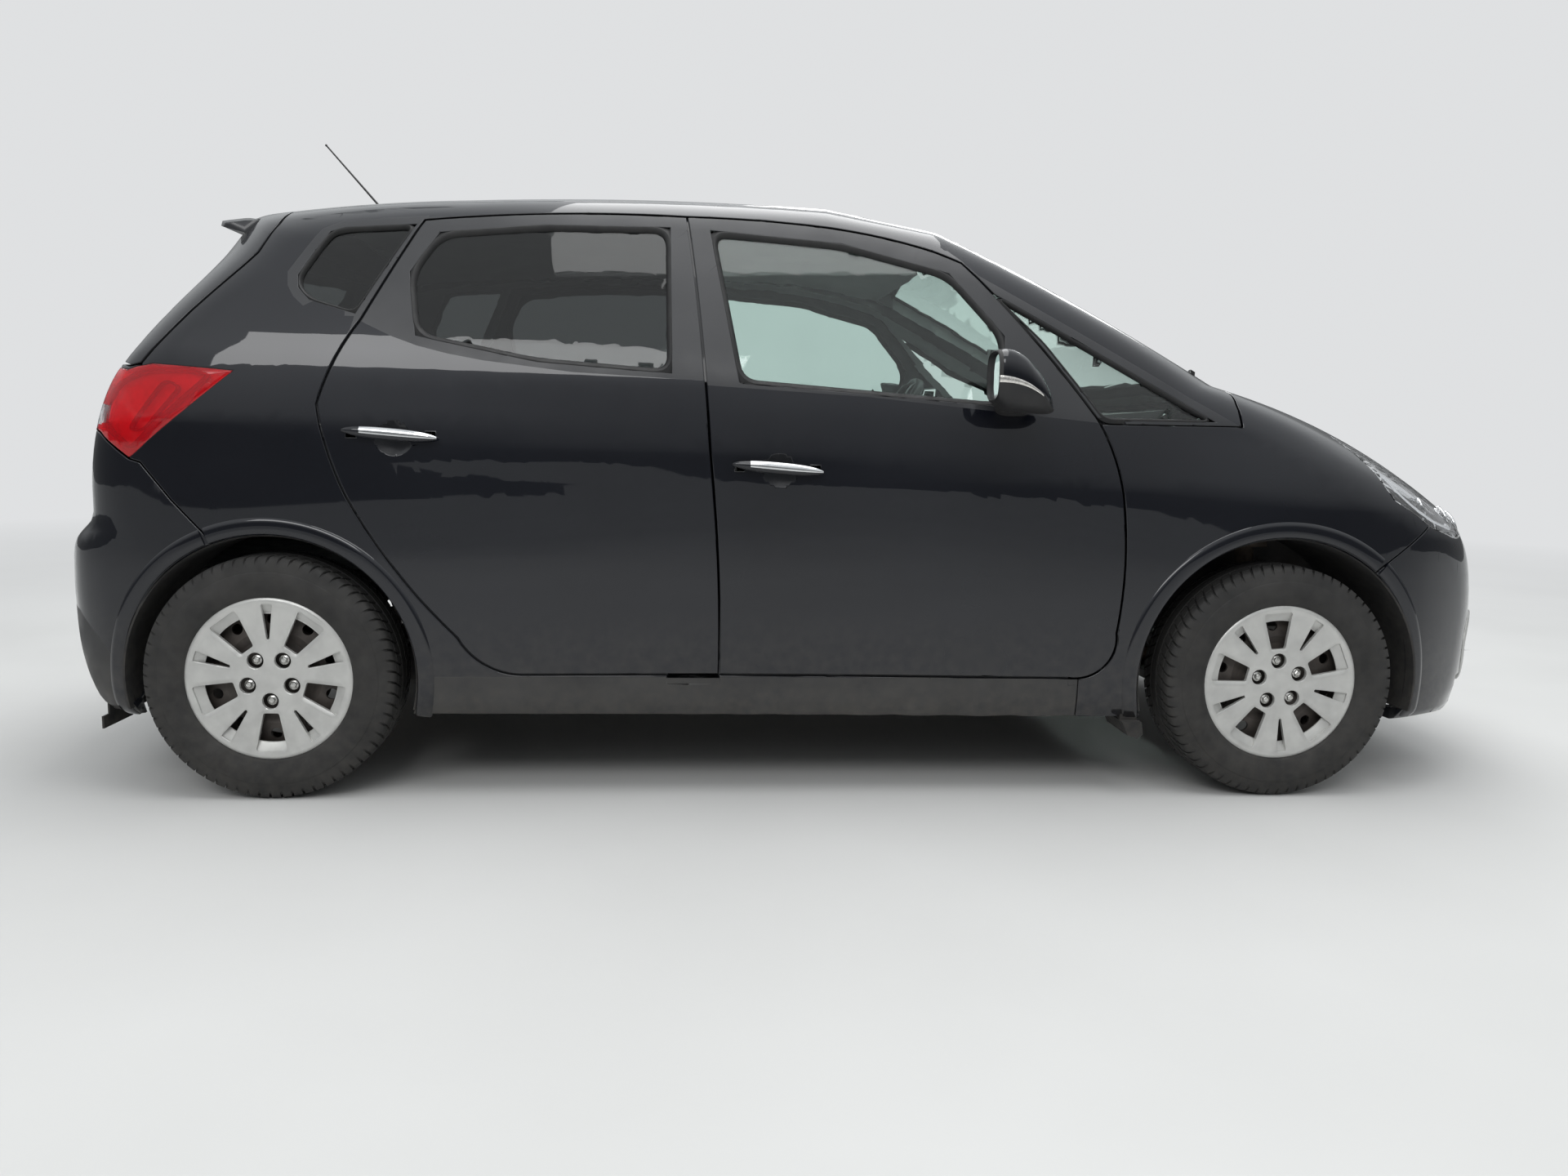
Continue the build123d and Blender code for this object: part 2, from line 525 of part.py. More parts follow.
def build_platform(nodes):
    floor = across(side_face([
        (835, 270), (880, 300), (880, 960), (835, 960), (835, 300), (-585, 300), (-665, 390), (-985, 390),
        (-1035, 560), (-1880, 560), (-1880, 660), (-1910, 660), (-1910, 400), (-1880, 400), (-1880, 530),
        (-1060, 530), (-1010, 360), (-680, 360), (-600, 270),
    ]), -wall_half + 0.3, wall_half - 0.3)
    for side in (-1, 1):
        floor = floor - wheel_space(rear_axle_x, rear_arch_radius, rear_arch_reach - 6, side)
        floor = floor - wheel_space(front_axle_x, front_arch_radius, front_arch_reach - 6, side)
        floor = floor - block(-2000, -1840, side * 692 - 56, side * 692 + 56, 380, 700)
    floor_rail = block(-590, 832, 395, 455, 225, 272)
    nodes["floor_pan"] = main_solid(main_solid(floor) + floor_rail + mirrored(floor_rail))
    rail = block(880, 1760, -455, -400, 400, 520)
    apron = block(880, 1500, -470, -455, 480, 900) + block(1110, 1310, -690, -460, 880, 892)
    ring = block(1760, 1790, -560, 560, 330, 720) - block(1750, 1800, -480, 480, 380, 680)
    front = rail + apron + mirrored(rail + apron) + ring
    cross = block(1100, 1340, -410, 410, 300, 340)
    leg = block(1180, 1240, -410, -350, 340, 410)
    front = front + cross + leg + mirrored(leg)
    tower_hole = rod((front_axle_x - 15, -590, 800), (front_axle_x - 15, -590, 900), 48)
    nodes["front_structure"] = main_solid(front - tower_hole - mirrored(tower_hole))
    bearers = block(1450, 1560, seat_gap - 400, 400 - seat_gap, 420, 500)
    nodes["engine_block"] = block(1360, 1700, -380, 380, 345, 800) + bearers
    liner_parts = []
    for x, radius, reach, low in ((front_axle_x, front_arch_radius, front_arch_reach, 230),
                                  (rear_axle_x, rear_arch_radius, rear_arch_reach, 230)):
        ring = rod((x, -reach - 5, axle_z), (x, -840, axle_z), radius - 1)
        ring = ring - rod((x, -reach + 5, axle_z), (x, -900, axle_z), radius - 6)
        ring = ring - block(x - 500, x + 500, -900, -300, -200, low)
        ring = ring - rod((x - 5, -620, 600), (x - 12, -592, 860), 82)
        liner_parts += solids_of(wing_pair(main_solid(ring)))
    front_flap = across(side_face(front_flap_line), -862, -700)
    front_flap = front_flap + block(788, 834, -834, -700, 200, 229.7)
    rear_flap = along(rear_face([
        (-640, 168), (-792, 168), (-792, 199.7), (-759.7, 199.7), (-759.7, 299.7), (-640, 299.7)]), -1848, -1843)
    liner_parts += solids_of(wing_pair(front_flap)) + solids_of(wing_pair(rear_flap))
    nodes["arch_liners"] = Compound(children=liner_parts)
    beam = block(-1240, -1160, -600, 600, 290, 350)
    arm = Solid.make_loft([
        Wire.make_rect(60, 90, Plane((-960, -560, 300), x_dir=(0, 1, 0), z_dir=(-1, 0, 0))),
        Wire.make_rect(60, 90, Plane((-1405, -590, axle_z), x_dir=(0, 1, 0), z_dir=(-1, 0, 0))),
    ])
    stub = rod((rear_axle_x, -560, axle_z), (rear_axle_x, 12.3 - rear_track / 2, axle_z), 45)
    arm = arm + block(-1450, -1380, -620, -560, 262, 362) + stub
    damper = rod((-1445, -560, 340), (-1500, -540, 515), 26)
    damper = damper + rod((-1500, -540, 505), (-1500, -540, 529.7), 18)
    arm = arm + damper
    nodes["rear_axle_beam"] = main_solid(beam + arm + mirrored(arm))
    pipe = rod((1395, -60, 246), (-1450, -60, 246), 22)
    pipe = pipe + rod((1395, -60, 225), (1395, -60, 344.7), 26)
    box = block(-1780, -1440, -340, 240, 210, 330)
    tail = rod((-1770, 150, 250), (-1990, 150, 230), 24)
    exhaust = pipe + box + tail
    for x, y, z0, z1, radius in exhaust_hangers:
        exhaust = exhaust + rod((x, y, z0), (x, y, z1), radius)
    nodes["exhaust"] = main_solid(exhaust)
    nodes["fuel_tank"] = block(-990, -700, 20, 500, 180, 359.7)


lug_circle = 57.15
cover_window = [
    (-12, 74), (12, 74), (20, 84), (48, 140), (51, 156), (43, 166), (-43, 166), (-51, 156), (-48, 140), (-20, 84),
]
cover_slot = [(-4, 92), (4, 92), (9, 150), (7, 162), (-7, 162), (-9, 150)]


def revolve_y(points, kinds):
    """A ring about the wheel's axis from points (distance outwards, radius)."""
    face = Face(Wire(path_edges(points, kinds, lambda p: Vector(0, p[0], p[1]))))
    return revolve(face, Axis.Y, 360)


def make_wheel():
    """A left wheel at the origin: tyre, steel wheel with brake disc, and its cover."""
    tyre = revolve_y([
        (-75.7, 190.8), (-75.7, 208.6), (-90, 209), (-98, 255), (-88, 296), (-82, 307), (-68, 310),
        (0, 312), (68, 310), (82, 307), (88, 296), (98, 255), (90, 209), (75.7, 208.6), (75.7, 190.8),
        (66, 190.8), (66, 215), (84, 255), (76, 292), (0, 301), (-76, 292), (-84, 255), (-66, 215),
        (-66, 190.8), (-75.7, 190.8),
    ], "LLAAAAALLLLAAALL")
    barrel = [
        (-76, 190.5), (-76, 207), (-84, 207), (-84, 203), (-80, 203), (-80, 186), (-45, 172), (30, 172),
        (60, 186), (80, 186), (80, 203), (84, 203), (84, 207), (76, 207), (76, 190.5), (58, 190.5),
        (28, 176.5), (-43, 176.5), (-60, 190.5), (-76, 190.5),
    ]
    rim = revolve_y(barrel, "L" * 19)
    dish = [
        (34, 181), (41, 183), (54, 120), (48, 100), (46, 60), (46, 32), (58, 30), (58, 0), (-12, 0),
        (-12, 129), (10, 129), (10, 76), (34, 74), (40, 102), (46, 120), (34, 181),
    ]
    rim = rim + revolve_y(dish, "L" * 15)
    cover = revolve_y([
        (84.3, 206), (87, 206.5), (89, 200), (87, 150), (84, 60), (84, 0), (80, 0), (80, 60), (82, 150),
        (84.3, 196), (84.3, 206),
    ], "L" * 10)
    window = Face(Wire.make_polygon([Vector(x, 0, z) for x, z in cover_window], close=True))
    slot = Face(Wire.make_polygon([Vector(x, 0, z) for x, z in cover_slot], close=True))
    window = extrude(window, amount=120, dir=(0, 1, 0))
    slot = extrude(slot, amount=120, dir=(0, 1, 0))
    for i in range(5):
        turn = 90 + 72 * i
        lug_hole = rod((0, 60, lug_circle), (0, 120, lug_circle), 13)
        for cut, cut_turn in ((window, turn), (slot, turn + 36), (lug_hole, turn)):
            cover = cover - cut.rotate(Axis.Y, cut_turn)
        rim = rim + rod((0, 50, lug_circle), (0, 68, lug_circle), 10.5).rotate(Axis.Y, turn)
        for part_turn in (0, 36):
            rim = rim - rod((0, 20, 148), (0, 90, 148), 14).rotate(Axis.Y, turn + part_turn)
    return main_solid(tyre), main_solid(rim), main_solid(cover)


def build_wheels(nodes):
    tyre, rim, cover = make_wheel()
    rows = (  # name, x, y, angle that the wheel stands turned to
        ("front_left", front_axle_x, front_track / 2, -23), ("front_right", front_axle_x, -front_track / 2, -23),
        ("rear_left", rear_axle_x, rear_track / 2, 18), ("rear_right", rear_axle_x, -rear_track / 2, 18),
    )
    for name, x, y, turn in rows:
        for kind, solid in (("tyre", tyre), ("wheel", rim), ("wheel_cover", cover)):
            if y < 0:
                solid = mirrored(solid)
            solid = solid.rotate(Axis.Y, turn)
            nodes["%s_%s" % (kind, name)] = solid.moved(Location((x, y, axle_z)))
    hub = rod((front_axle_x, 690, axle_z), (front_axle_x, front_track / 2 - 12.3, axle_z), 50)
    foot = Vector(front_axle_x, 728, 222)
    kingpin = (Vector(front_axle_x - 15, 590, 868) - foot).normalized()
    ball = Pos(*foot) * Sphere(14) + rod(foot, foot + kingpin * 75, 9)
    bracket = block(front_axle_x - 25, front_axle_x + 25, 622, 700, 330, 410)
    strut = rod((front_axle_x, 640, 390), (front_axle_x - 15, 590, 868), 25)
    spring = rod((front_axle_x - 7, 612, 650), (front_axle_x - 15, 592, 840), 60)
    knuckle = main_solid(hub + ball + bracket + strut + spring)
    nodes["knuckle_left"] = knuckle
    nodes["knuckle_right"] = mirrored(knuckle)
    arm = upright(plan_face([(1110, 400), (1195, 728), (1225, 728), (1320, 400)]), 196, 221)
    arm = arm + rod((front_axle_x, 728, 200), (front_axle_x, 728, 232), 23)
    arm = arm - Pos(*foot) * Sphere(14.3) - rod(foot, foot + kingpin * 60, 9.3)
    lower = arm + mirrored(arm) + block(1080, 1340, -400, 400, 196, 221)
    for x in (1125, 1315):
        post = rod((x, 380, 215), (x, 380, 299.7), 22)
        lower = lower + post + mirrored(post)
    nodes["front_subframe"] = main_solid(lower)


def build_cabin(nodes):
    dash = across(side_face([
        (834.7, 560), (834.7, 985), (960, 1030), (700, 1005), (560, 990), (520, 930), (600, 760), (640, 620),
    ]), -735, 735)
    hood_line = [(640, 980), (530, 960), (505, 1030), (560, 1058), (690, 1032), (760, 1005)]
    hood = across(side_face(hood_line), 190, 550)
    stack_line = [(560, 540), (515, 700), (510, 930), (600, 960), (700, 700), (640, 540)]
    stack = across(side_face(stack_line), -130, 110)
    shroud = rod((440, 370, 930.2), (600, 370, 837.8), 46)
    column = rod((345, 370, 985), (700.3, 370, 779.8), 20.3)
    nodes["dashboard"] = main_solid(dash + hood + stack + shroud - column)
    ring = Torus(178, 15)
    hub = Cylinder(62, 40)
    spokes = Box(350, 40, 14) + Pos(0, -90, 0) * Box(40, 180, 14)
    wheel = ring + hub + spokes
    plane = Plane((345, 370, 985), x_dir=(0, 1, 0), z_dir=(-0.866, 0, 0.5))
    wheel = wheel.moved(plane.location) + rod((345, 370, 985), (700, 370, 780), 20)
    nodes["steering_wheel"] = main_solid(wheel)
    cushion = across(side_face([
        (-280, 469.3), (205, 469.3), (260, 490), (270, 600), (200, 640), (-180, 590), (-280, 600)]), 120, 620)
    back = across(side_face([
        (-290, 601.3), (-280, 600.3), (-180, 590.3), (-250, 900), (-330, 1150), (-420, 1150), (-400, 900),
    ]), 130, 610)
    rest = across(side_face([(-335, 1170), (-415, 1175), (-440, 1310), (-370, 1320)]), 240, 500)
    base_line = [(-260, 300.3), (240, 300.3), (240, 330), (200, 469), (-230, 469), (-260, 330)]
    base = across(side_face(base_line), 160, 580)
    for y in (320, 420):
        rest = rest + rod((-370, y, 1149), (-376, y, 1172), 6)
    seat = [main_solid(back + rest), main_solid(cushion)]
    nodes["front_seats"] = Compound(children=[c for s in seat for c in solids_of(wing_pair(s))])
    nodes["seat_bases"] = wing_pair(main_solid(base))
    bench = across(side_face([
        (-480, 400), (-480, 560), (-560, 600), (-900, 560), (-1010, 1120), (-1110, 1120), (-1030, 562),
        (-978, 390.3), (-560, 390.3),
    ]), -560, 560)
    nodes["rear_bench"] = main_solid(bench)


def build_trim(nodes, outer):
    housing = fillet(block(398, 515, -1005, -868, 1015, 1150).edges(), 32)
    foot = block(420, 500, -900, -800, 1000, 1045)
    mirror_body = main_solid((housing + foot) - outer.moved(Location((0, -seat_gap, 0))))
    nodes["mirror_right"] = mirror_body
    nodes["mirror_left"] = mirrored(mirror_body)
    over = outer.moved(Location((0, 0, seat_gap)))
    mast = rod((-1296, 0, 1576), (-1493, 0, 1799), 3) + rod((-1286, 0, 1560), (-1302, 0, 1602), 14)
    nodes["roof_aerial"] = main_solid(mast - over)
    strips = [
        [(1040, -560), (1141, -280), (1175, 20), (1187, 20), (1153, -280), (1052, -560)],
        [(1222, -70), (1236, -58), (1156, -262), (1142, -272)],
        [(1042, 580), (1120, 380), (1172, 60), (1184, 60), (1132, 380), (1054, 580)],
        [(1170, 410), (1184, 402), (1142, 320), (1128, 330)],
    ]
    zone = upright(plan_face(strips[0]), 900, 1400)
    for strip in strips[1:]:
        zone = zone + upright(plan_face(strip), 900, 1400)
    wipers = (outer.moved(Location((0, 0, 11))) & zone) - over
    nodes["front_wipers"] = Compound(children=solids_of(wipers))
    zone = along(rear_face([(-10, 1168), (-370, 1186), (-370, 1196), (-10, 1180)]), -2100, -1300)
    zone = zone + along(rear_face([(-14, 1120), (14, 1120), (14, 1180), (-14, 1180)]), -2100, -1300)
    wiper = (outer.moved(Location((-10, 0, 0))) & zone) - outer.moved(Location((-seat_gap, 0, 0)))
    nodes["rear_wiper"] = main_solid(wiper)


def main():
    nodes = {}
    outer = build_body(nodes)
    build_platform(nodes)
    build_wheels(nodes)
    build_cabin(nodes)
    build_trim(nodes, outer)
    os.makedirs("parts", exist_ok=True)
    for name, shape in nodes.items():
        export_step(shape, "parts/%s.step" % name)


main()
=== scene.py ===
import bmesh
import bpy
import numpy as np
from mathutils import Matrix, Vector


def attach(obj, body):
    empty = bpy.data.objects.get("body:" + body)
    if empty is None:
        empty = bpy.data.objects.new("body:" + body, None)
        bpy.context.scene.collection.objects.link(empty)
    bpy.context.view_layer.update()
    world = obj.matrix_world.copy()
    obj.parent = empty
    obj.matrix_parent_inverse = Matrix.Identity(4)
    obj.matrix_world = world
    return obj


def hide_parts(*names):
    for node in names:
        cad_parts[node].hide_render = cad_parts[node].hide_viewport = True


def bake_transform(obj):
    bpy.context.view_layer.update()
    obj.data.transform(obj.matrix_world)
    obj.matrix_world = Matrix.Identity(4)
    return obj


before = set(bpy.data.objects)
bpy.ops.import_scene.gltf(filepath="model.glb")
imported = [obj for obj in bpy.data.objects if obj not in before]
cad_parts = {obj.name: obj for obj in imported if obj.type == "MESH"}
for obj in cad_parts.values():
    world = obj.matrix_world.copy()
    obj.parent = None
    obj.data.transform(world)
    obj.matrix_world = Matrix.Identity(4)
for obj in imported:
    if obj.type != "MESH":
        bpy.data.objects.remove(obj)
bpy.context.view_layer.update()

# Camera: the view of the photograph, solved from the wheel covers, the tyres' contact points and the
# roof's height. It stands about 3.8 m from the car's side, a little below the belt line.
yaw, pitch, roll = np.radians([-3.95, -7.28, 1.01])
forward = np.array([-np.sin(yaw) * np.cos(pitch), np.cos(yaw) * np.cos(pitch), np.sin(pitch)])
level = np.array([np.cos(yaw), np.sin(yaw), 0.0])
above = np.cross(level, forward)
right = level * np.cos(roll) + above * np.sin(roll)
upward = above * np.cos(roll) - level * np.sin(roll)
eye = np.array([-0.3201, -3.8098, 0.9316])
camera_data = bpy.data.cameras.new("camera")
camera_data.sensor_width = 36.0
camera_data.lens = 1429.8 * 36.0 / 1920.0
camera_data.clip_end = 100.0
camera = bpy.data.objects.new("camera", camera_data)
pose = Matrix.Identity(4)
for i in range(3):
    pose[i][0], pose[i][1], pose[i][2], pose[i][3] = right[i], upward[i], -forward[i], eye[i]
camera.matrix_world = pose
bpy.context.scene.collection.objects.link(camera)
bpy.context.scene.camera = camera
bpy.context.scene.view_settings.view_transform = "Standard"

# Body panels: pressed steel, painted black with a clear coat, cut from one closed body form. The real
# pressings have soft corners between roof, sides and ends, so each panel's CAD surface is moved onto
# a rounded form, and its edges are rolled over as a hemmed sheet is.
shift = -0.0975
profile = np.array([
    (-1850, 200, 90, 0), (-1925, 320, 90, 0), (-1950, 460, 90, 0), (-1953, 560, 90, 0), (-1940, 660, 90, 0),
    (-1880, 692, 100, 0), (-1872, 880, 100, 0), (-1830, 1060, 120, 0), (-1725, 1240, 155, -10),
    (-1610, 1420, 205, -50), (-1530, 1545, 215, -90), (-1200, 1572, 40, -85), (-850, 1590, 0, -70),
    (-250, 1600, 0, -62), (120, 1588, -30, -60), (450, 1530, -80, -55), (900, 1325, -150, -25),
    (1340, 1100, -215, -5), (1690, 990, -210, -30), (2010, 800, -200, -40), (2090, 700, -190, -20),
    (2130, 580, -180, 0), (2147, 480, -180, 0), (2135, 380, -180, 0), (2105, 270, -170, 0),
    (2040, 190, -160, 0), (-1850, 200, 90, 0)]) / 1000
sections = np.array([
    (-2100, 835, 965, 815, 1150, 770, 590), (-1300, 880, 950, 866, 1115, 822, 635),
    (-300, 872, 890, 870, 1078, 834, 652), (700, 872, 815, 870, 1000, 830, 640),
    (1500, 880, 780, 862, 950, 800, 610), (2300, 860, 740, 820, 900, 740, 560)]) / 1000
plan_half = np.array([
    (-1972, 0), (-1965, 260), (-1935, 500), (-1890, 665), (-1790, 780), (-1620, 852), (-1400, 878), (1400, 878),
    (1700, 815), (1900, 705), (2030, 560), (2105, 380), (2150, 190), (2160, 0)]) / 1000
corner = 0.075
roll_over = 0.0022


def arcs(points, kinds, count=24):
    """Points along a path of straight runs (L) and of arcs through a middle point (A)."""
    out, at = [], 0
    for kind in kinds:
        t = np.linspace(0, 1, count)[:, None]
        a, b = points[at], points[at + 1]
        if kind == "L":
            out.append(a + (b - a) * t)
            at += 1
            continue
        c = points[at + 2]
        m = 2 * np.array([b - a, c - a])
        centre = np.linalg.solve(m, [b @ b - a @ a, c @ c - a @ a])
        start, mid, end = (np.arctan2(*(p - centre)[::-1]) for p in (a, b, c))
        turn = (end - start) % (2 * np.pi)
        turn = turn if (mid - start) % (2 * np.pi) < turn else turn - 2 * np.pi
        angle = start + turn * t
        out.append(centre + np.linalg.norm(a - centre) * np.hstack([np.cos(angle), np.sin(angle)]))
        at += 2
    return np.vstack(out)


def blurred(table, sigma):
    """The table blurred along its last axis with a bell curve that many cells wide."""
    reach = int(3 * sigma) + 1
    bell = np.exp(-0.5 * (np.arange(-reach, reach + 1) / sigma) ** 2)
    padded = np.pad(table, ((0, 0), (reach, reach)), mode="edge")
    return np.array([np.convolve(row, bell / bell.sum(), mode="valid") for row in padded])


def polar(points, centre, angles):
    """Distance from the centre to a closed outline at each angle."""
    d = points - centre
    phi = np.arctan2(d[:, 1], d[:, 0])
    order = np.argsort(phi)
    return np.interp(angles, phi[order], np.hypot(d[:, 0], d[:, 1])[order], period=2 * np.pi)


angles = np.linspace(-np.pi, np.pi, 2881)
heart = np.array([0.6 + shift, 0.5])
spreads = np.linspace(0, 1.7, 18)
top_table = []
for k in spreads:
    line = profile[:, :2] + profile[:, 2:] * k + [shift, 0]
    top_table.append(polar(arcs(line, "AALAALAALAAAAAL"), heart, angles))
top_table = np.array(top_table)
heights = np.linspace(0.1, 1.7, 801)
side_rows = []
for x, wide, crease_z, crease_y, belt_z, belt_y, rail_y in sections:
    half = np.array([
        (wide - 0.04, 0.12), (wide - 0.008, 0.4), (wide, 0.62), (crease_y, crease_z), (belt_y, belt_z),
        ((belt_y + rail_y) / 2 + 0.014, (belt_z + 1.505) / 2), (rail_y, 1.505), (rail_y - 0.11, 1.66)])
    line = arcs(half, "ALLAL")
    side_rows.append(np.interp(heights, line[:, 1], line[:, 0]))
stations = np.linspace(-2.3, 2.3, 93)
knots = sections[:, 0] + shift
side_table = np.vander(stations / 2, 6) @ np.linalg.solve(np.vander(knots / 2, 6), np.array(side_rows))
outline = arcs(plan_half, "AAALAAA") + [shift, 0]
plan_table = polar(np.vstack([outline, outline[::-1] * [1, -1]]), np.zeros(2), angles)[None]
tables = {
    "crisp": (top_table, side_table, plan_table),
    "soft": (blurred(top_table, 4.0), blurred(side_table, 7.0), blurred(plan_table, 5.0)),
}


def look(table, row, col):
    """Values between a table's cells at fractional rows and columns."""
    row = np.clip(row, 0, table.shape[0] - 1.001)
    col = np.clip(col, 0, table.shape[1] - 1.001)
    i, j = row.astype(int), col.astype(int)
    u, v = row - i, col - j
    up = table[i, j] * (1 - v) + table[i, j + 1] * v
    if table.shape[0] == 1:
        return up
    return up * (1 - u) + (table[i + 1, j] * (1 - v) + table[i + 1, j + 1] * v) * u


def height_over(p, kind="soft"):
    """Distance out from the body form: the largest of profile, side and plan, blended round their
    corners where the form is soft. Each is (radius - outline's radius) times the cosine of its slant."""
    top, side, plan = tables[kind]
    x, y, z = p[:, 0], np.abs(p[:, 1]), p[:, 2]
    cell = len(angles) - 1
    row = np.minimum((y / 0.7) ** 2 / (spreads[1] - spreads[0]), len(spreads) - 1.01)
    phi = (np.arctan2(z - heart[1], x - heart[0]) + np.pi) / (2 * np.pi) * cell
    r = look(top, row, phi)
    slant = (look(top, row, phi + 2) - look(top, row, phi - 2)) / (4 * 2 * np.pi / cell) / r
    a = (np.hypot(x - heart[0], z - heart[1]) - r) / np.sqrt(1 + slant ** 2)
    row, col = (x + 2.3) / 0.05, (z - 0.1) / 0.002
    w = look(side, row, col)
    rise = (look(side, row, col + 3) - look(side, row, col - 3)) / 0.012
    b = (y - w) / np.sqrt(1 + rise ** 2)
    phi = (np.arctan2(y, x) + np.pi) / (2 * np.pi) * cell
    zero = np.zeros_like(phi)
    r = look(plan, zero, phi)
    slant = (look(plan, zero, phi + 2) - look(plan, zero, phi - 2)) / (4 * 2 * np.pi / cell) / r
    c = (np.hypot(x, y) - r) / np.sqrt(1 + slant ** 2)
    if kind == "crisp":
        return np.maximum(np.maximum(a, b), c)
    for other in (b, c):
        h = np.maximum(corner - np.abs(a - other), 0) / corner
        a = np.maximum(a, other) + h * h * corner / 4
    return a


def slope_of(p, kind="soft"):
    """Unit direction in which the distance from the body form grows, by small steps each way."""
    step = 0.002
    g = np.stack([
        height_over(p + np.eye(3)[i] * step, kind) - height_over(p - np.eye(3)[i] * step, kind)
        for i in range(3)], 1)
    return g / np.maximum(np.linalg.norm(g, axis=1), 1e-9)[:, None]


def eased(p):
    """Points moved along the soft form's slope, so that each lies as far from the soft form as it lay
    from the crisp one. Deep inside, nothing moves."""
    deep = height_over(p, "crisp")
    fade = np.clip((0.12 + deep) / 0.06, 0, 1)
    for i in range(2):
        p = p - (fade * (height_over(p) - deep))[:, None] * slope_of(p)
    return p


def read_flat(things, field, width=1, kind=float):
    """One field of a mesh's things as an array."""
    flat = np.empty(len(things) * width, dtype=kind)
    things.foreach_get(field, flat)
    return flat.reshape(-1, width) if width > 1 else flat


def side_cuts(line):
    """Planes across the car along a side-view line of points (x, z)."""
    line = np.array(line)
    runs = line[1:] - line[:-1]
    return [((x, 0, z), (-dz, 0, dx)) for (x, z), (dx, dz) in zip(line, runs)]


def panel_mesh(node, cuts=(), cell=0.045, set_in=0.0, pane=False, leave=None):
    """A copy of a CAD panel, merged, cut by evenly spaced planes and by the given ones, with the outer
    skin's edge rolled over, moved onto the soft form. The skin may lie set in from the form. Returns
    the mesh with each face's centre and facing before the move, and which faces are outer skin."""
    bm = bmesh.new()
    bm.from_mesh(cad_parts[node].data)
    bmesh.ops.remove_doubles(bm, verts=bm.verts, dist=2e-5)
    places = np.array([v.co for v in bm.verts])
    low, high = places.min(0), places.max(0)
    cell = cell
    planes = [(Vector(n) * (i * cell), Vector(n)) for n, lo, hi in zip(np.eye(3), low, high)
              for i in range(int(np.ceil(lo / cell)), int(np.floor(hi / cell)) + 1)]
    for place, normal in planes + [(Vector(a), Vector(b).normalized()) for a, b in cuts]:
        bmesh.ops.bisect_plane(
            bm, geom=bm.verts[:] + bm.edges[:] + bm.faces[:], plane_co=place, plane_no=normal, dist=1e-5)
    if leave:
        out = leave(np.array([f.calc_center_median() for f in bm.faces]))
        bmesh.ops.delete(bm, geom=[f for f, gone in zip(bm.faces, out) if gone], context="FACES")
    bm.verts.ensure_lookup_table()
    bm.verts.index_update()
    depth = np.abs(height_over(np.array([v.co for v in bm.verts]), "crisp") + set_in)
    deepest = np.array([max(depth[v.index] for v in f.verts) for f in bm.faces])
    centres = np.array([f.calc_center_median() for f in bm.faces])
    normals = np.array([f.normal for f in bm.faces])
    facing = np.einsum("ij,ij->i", normals, slope_of(centres, "crisp"))
    skin = (deepest < 0.0045) & (facing > 0.6)
    for face, is_skin in zip(bm.faces, skin):
        face.smooth = True
        face.material_index = 0 if is_skin else 1
    ring = bmesh.ops.inset_region(
        bm, faces=[f for f, s in zip(bm.faces, skin) if s], thickness=roll_over, use_even_offset=True,
        use_boundary=True)
    for face in ring["faces"]:
        face.material_index = 2
    mesh = bpy.data.meshes.new(node + "_panel")
    bm.to_mesh(mesh)
    bm.free()
    kind = read_flat(mesh.polygons, "material_index", kind=int)
    centres = read_flat(mesh.polygons, "center", 3)
    facings = read_flat(mesh.polygons, "normal", 3)
    owner = np.repeat(np.arange(len(kind)), read_flat(mesh.polygons, "loop_total", kind=int))
    at = read_flat(mesh.loops, "vertex_index", kind=int)
    p = eased(read_flat(mesh.vertices, "co", 3))
    mesh.vertices.foreach_set("co", p.ravel())
    mesh.update()
    # corner normals: the form's own slope on the skin, half turned on the rolled edge, and the faces'
    # own elsewhere, blended where they meet at a shallow angle
    normal = read_flat(mesh.polygons, "normal", 3)[owner]
    rest = kind[owner] == 1
    total = np.zeros_like(p)
    np.add.at(total, at[rest], normal[rest])
    total /= np.maximum(np.linalg.norm(total, axis=1), 1e-9)[:, None]
    slope = slope_of(p)
    ringed = np.zeros(len(p), dtype=bool)
    ringed[at[kind[owner] == 2]] = True
    edge = ringed & (np.abs(total).sum(1) > 0)
    p[edge] -= slope[edge] * roll_over * 0.6
    mesh.vertices.foreach_set("co", p.ravel())
    turned = slope + total * edge[:, None]
    turned /= np.linalg.norm(turned, axis=1)[:, None]
    near = np.einsum("ij,ij->i", normal, total[at]) > 0.8
    corners = np.where((rest & near)[:, None], total[at], normal)
    if pane:
        back = rest & (np.einsum("ij,ij->i", normal, slope[at]) < -0.8)
        corners = np.where(back[:, None], -slope[at], corners)
    corners = np.where((~rest)[:, None], np.where(edge[at][:, None], turned[at], slope[at]), corners)
    mesh.polygons.foreach_set("use_smooth", np.ones(len(kind), dtype=bool))
    mesh.normals_split_custom_set(corners)
    return mesh, centres, facings, kind != 1


def place_piece(name, mesh, body, finishes, replaces=()):
    """Puts a mesh into the scene as a piece that rides on a body, with its finishes in order."""
    piece = bpy.data.objects.new(name, mesh)
    bpy.context.scene.collection.objects.link(piece)
    for material in finishes:
        mesh.materials.append(material)
    if body:
        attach(piece, body)
    if replaces:
        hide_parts(*replaces)
    return piece


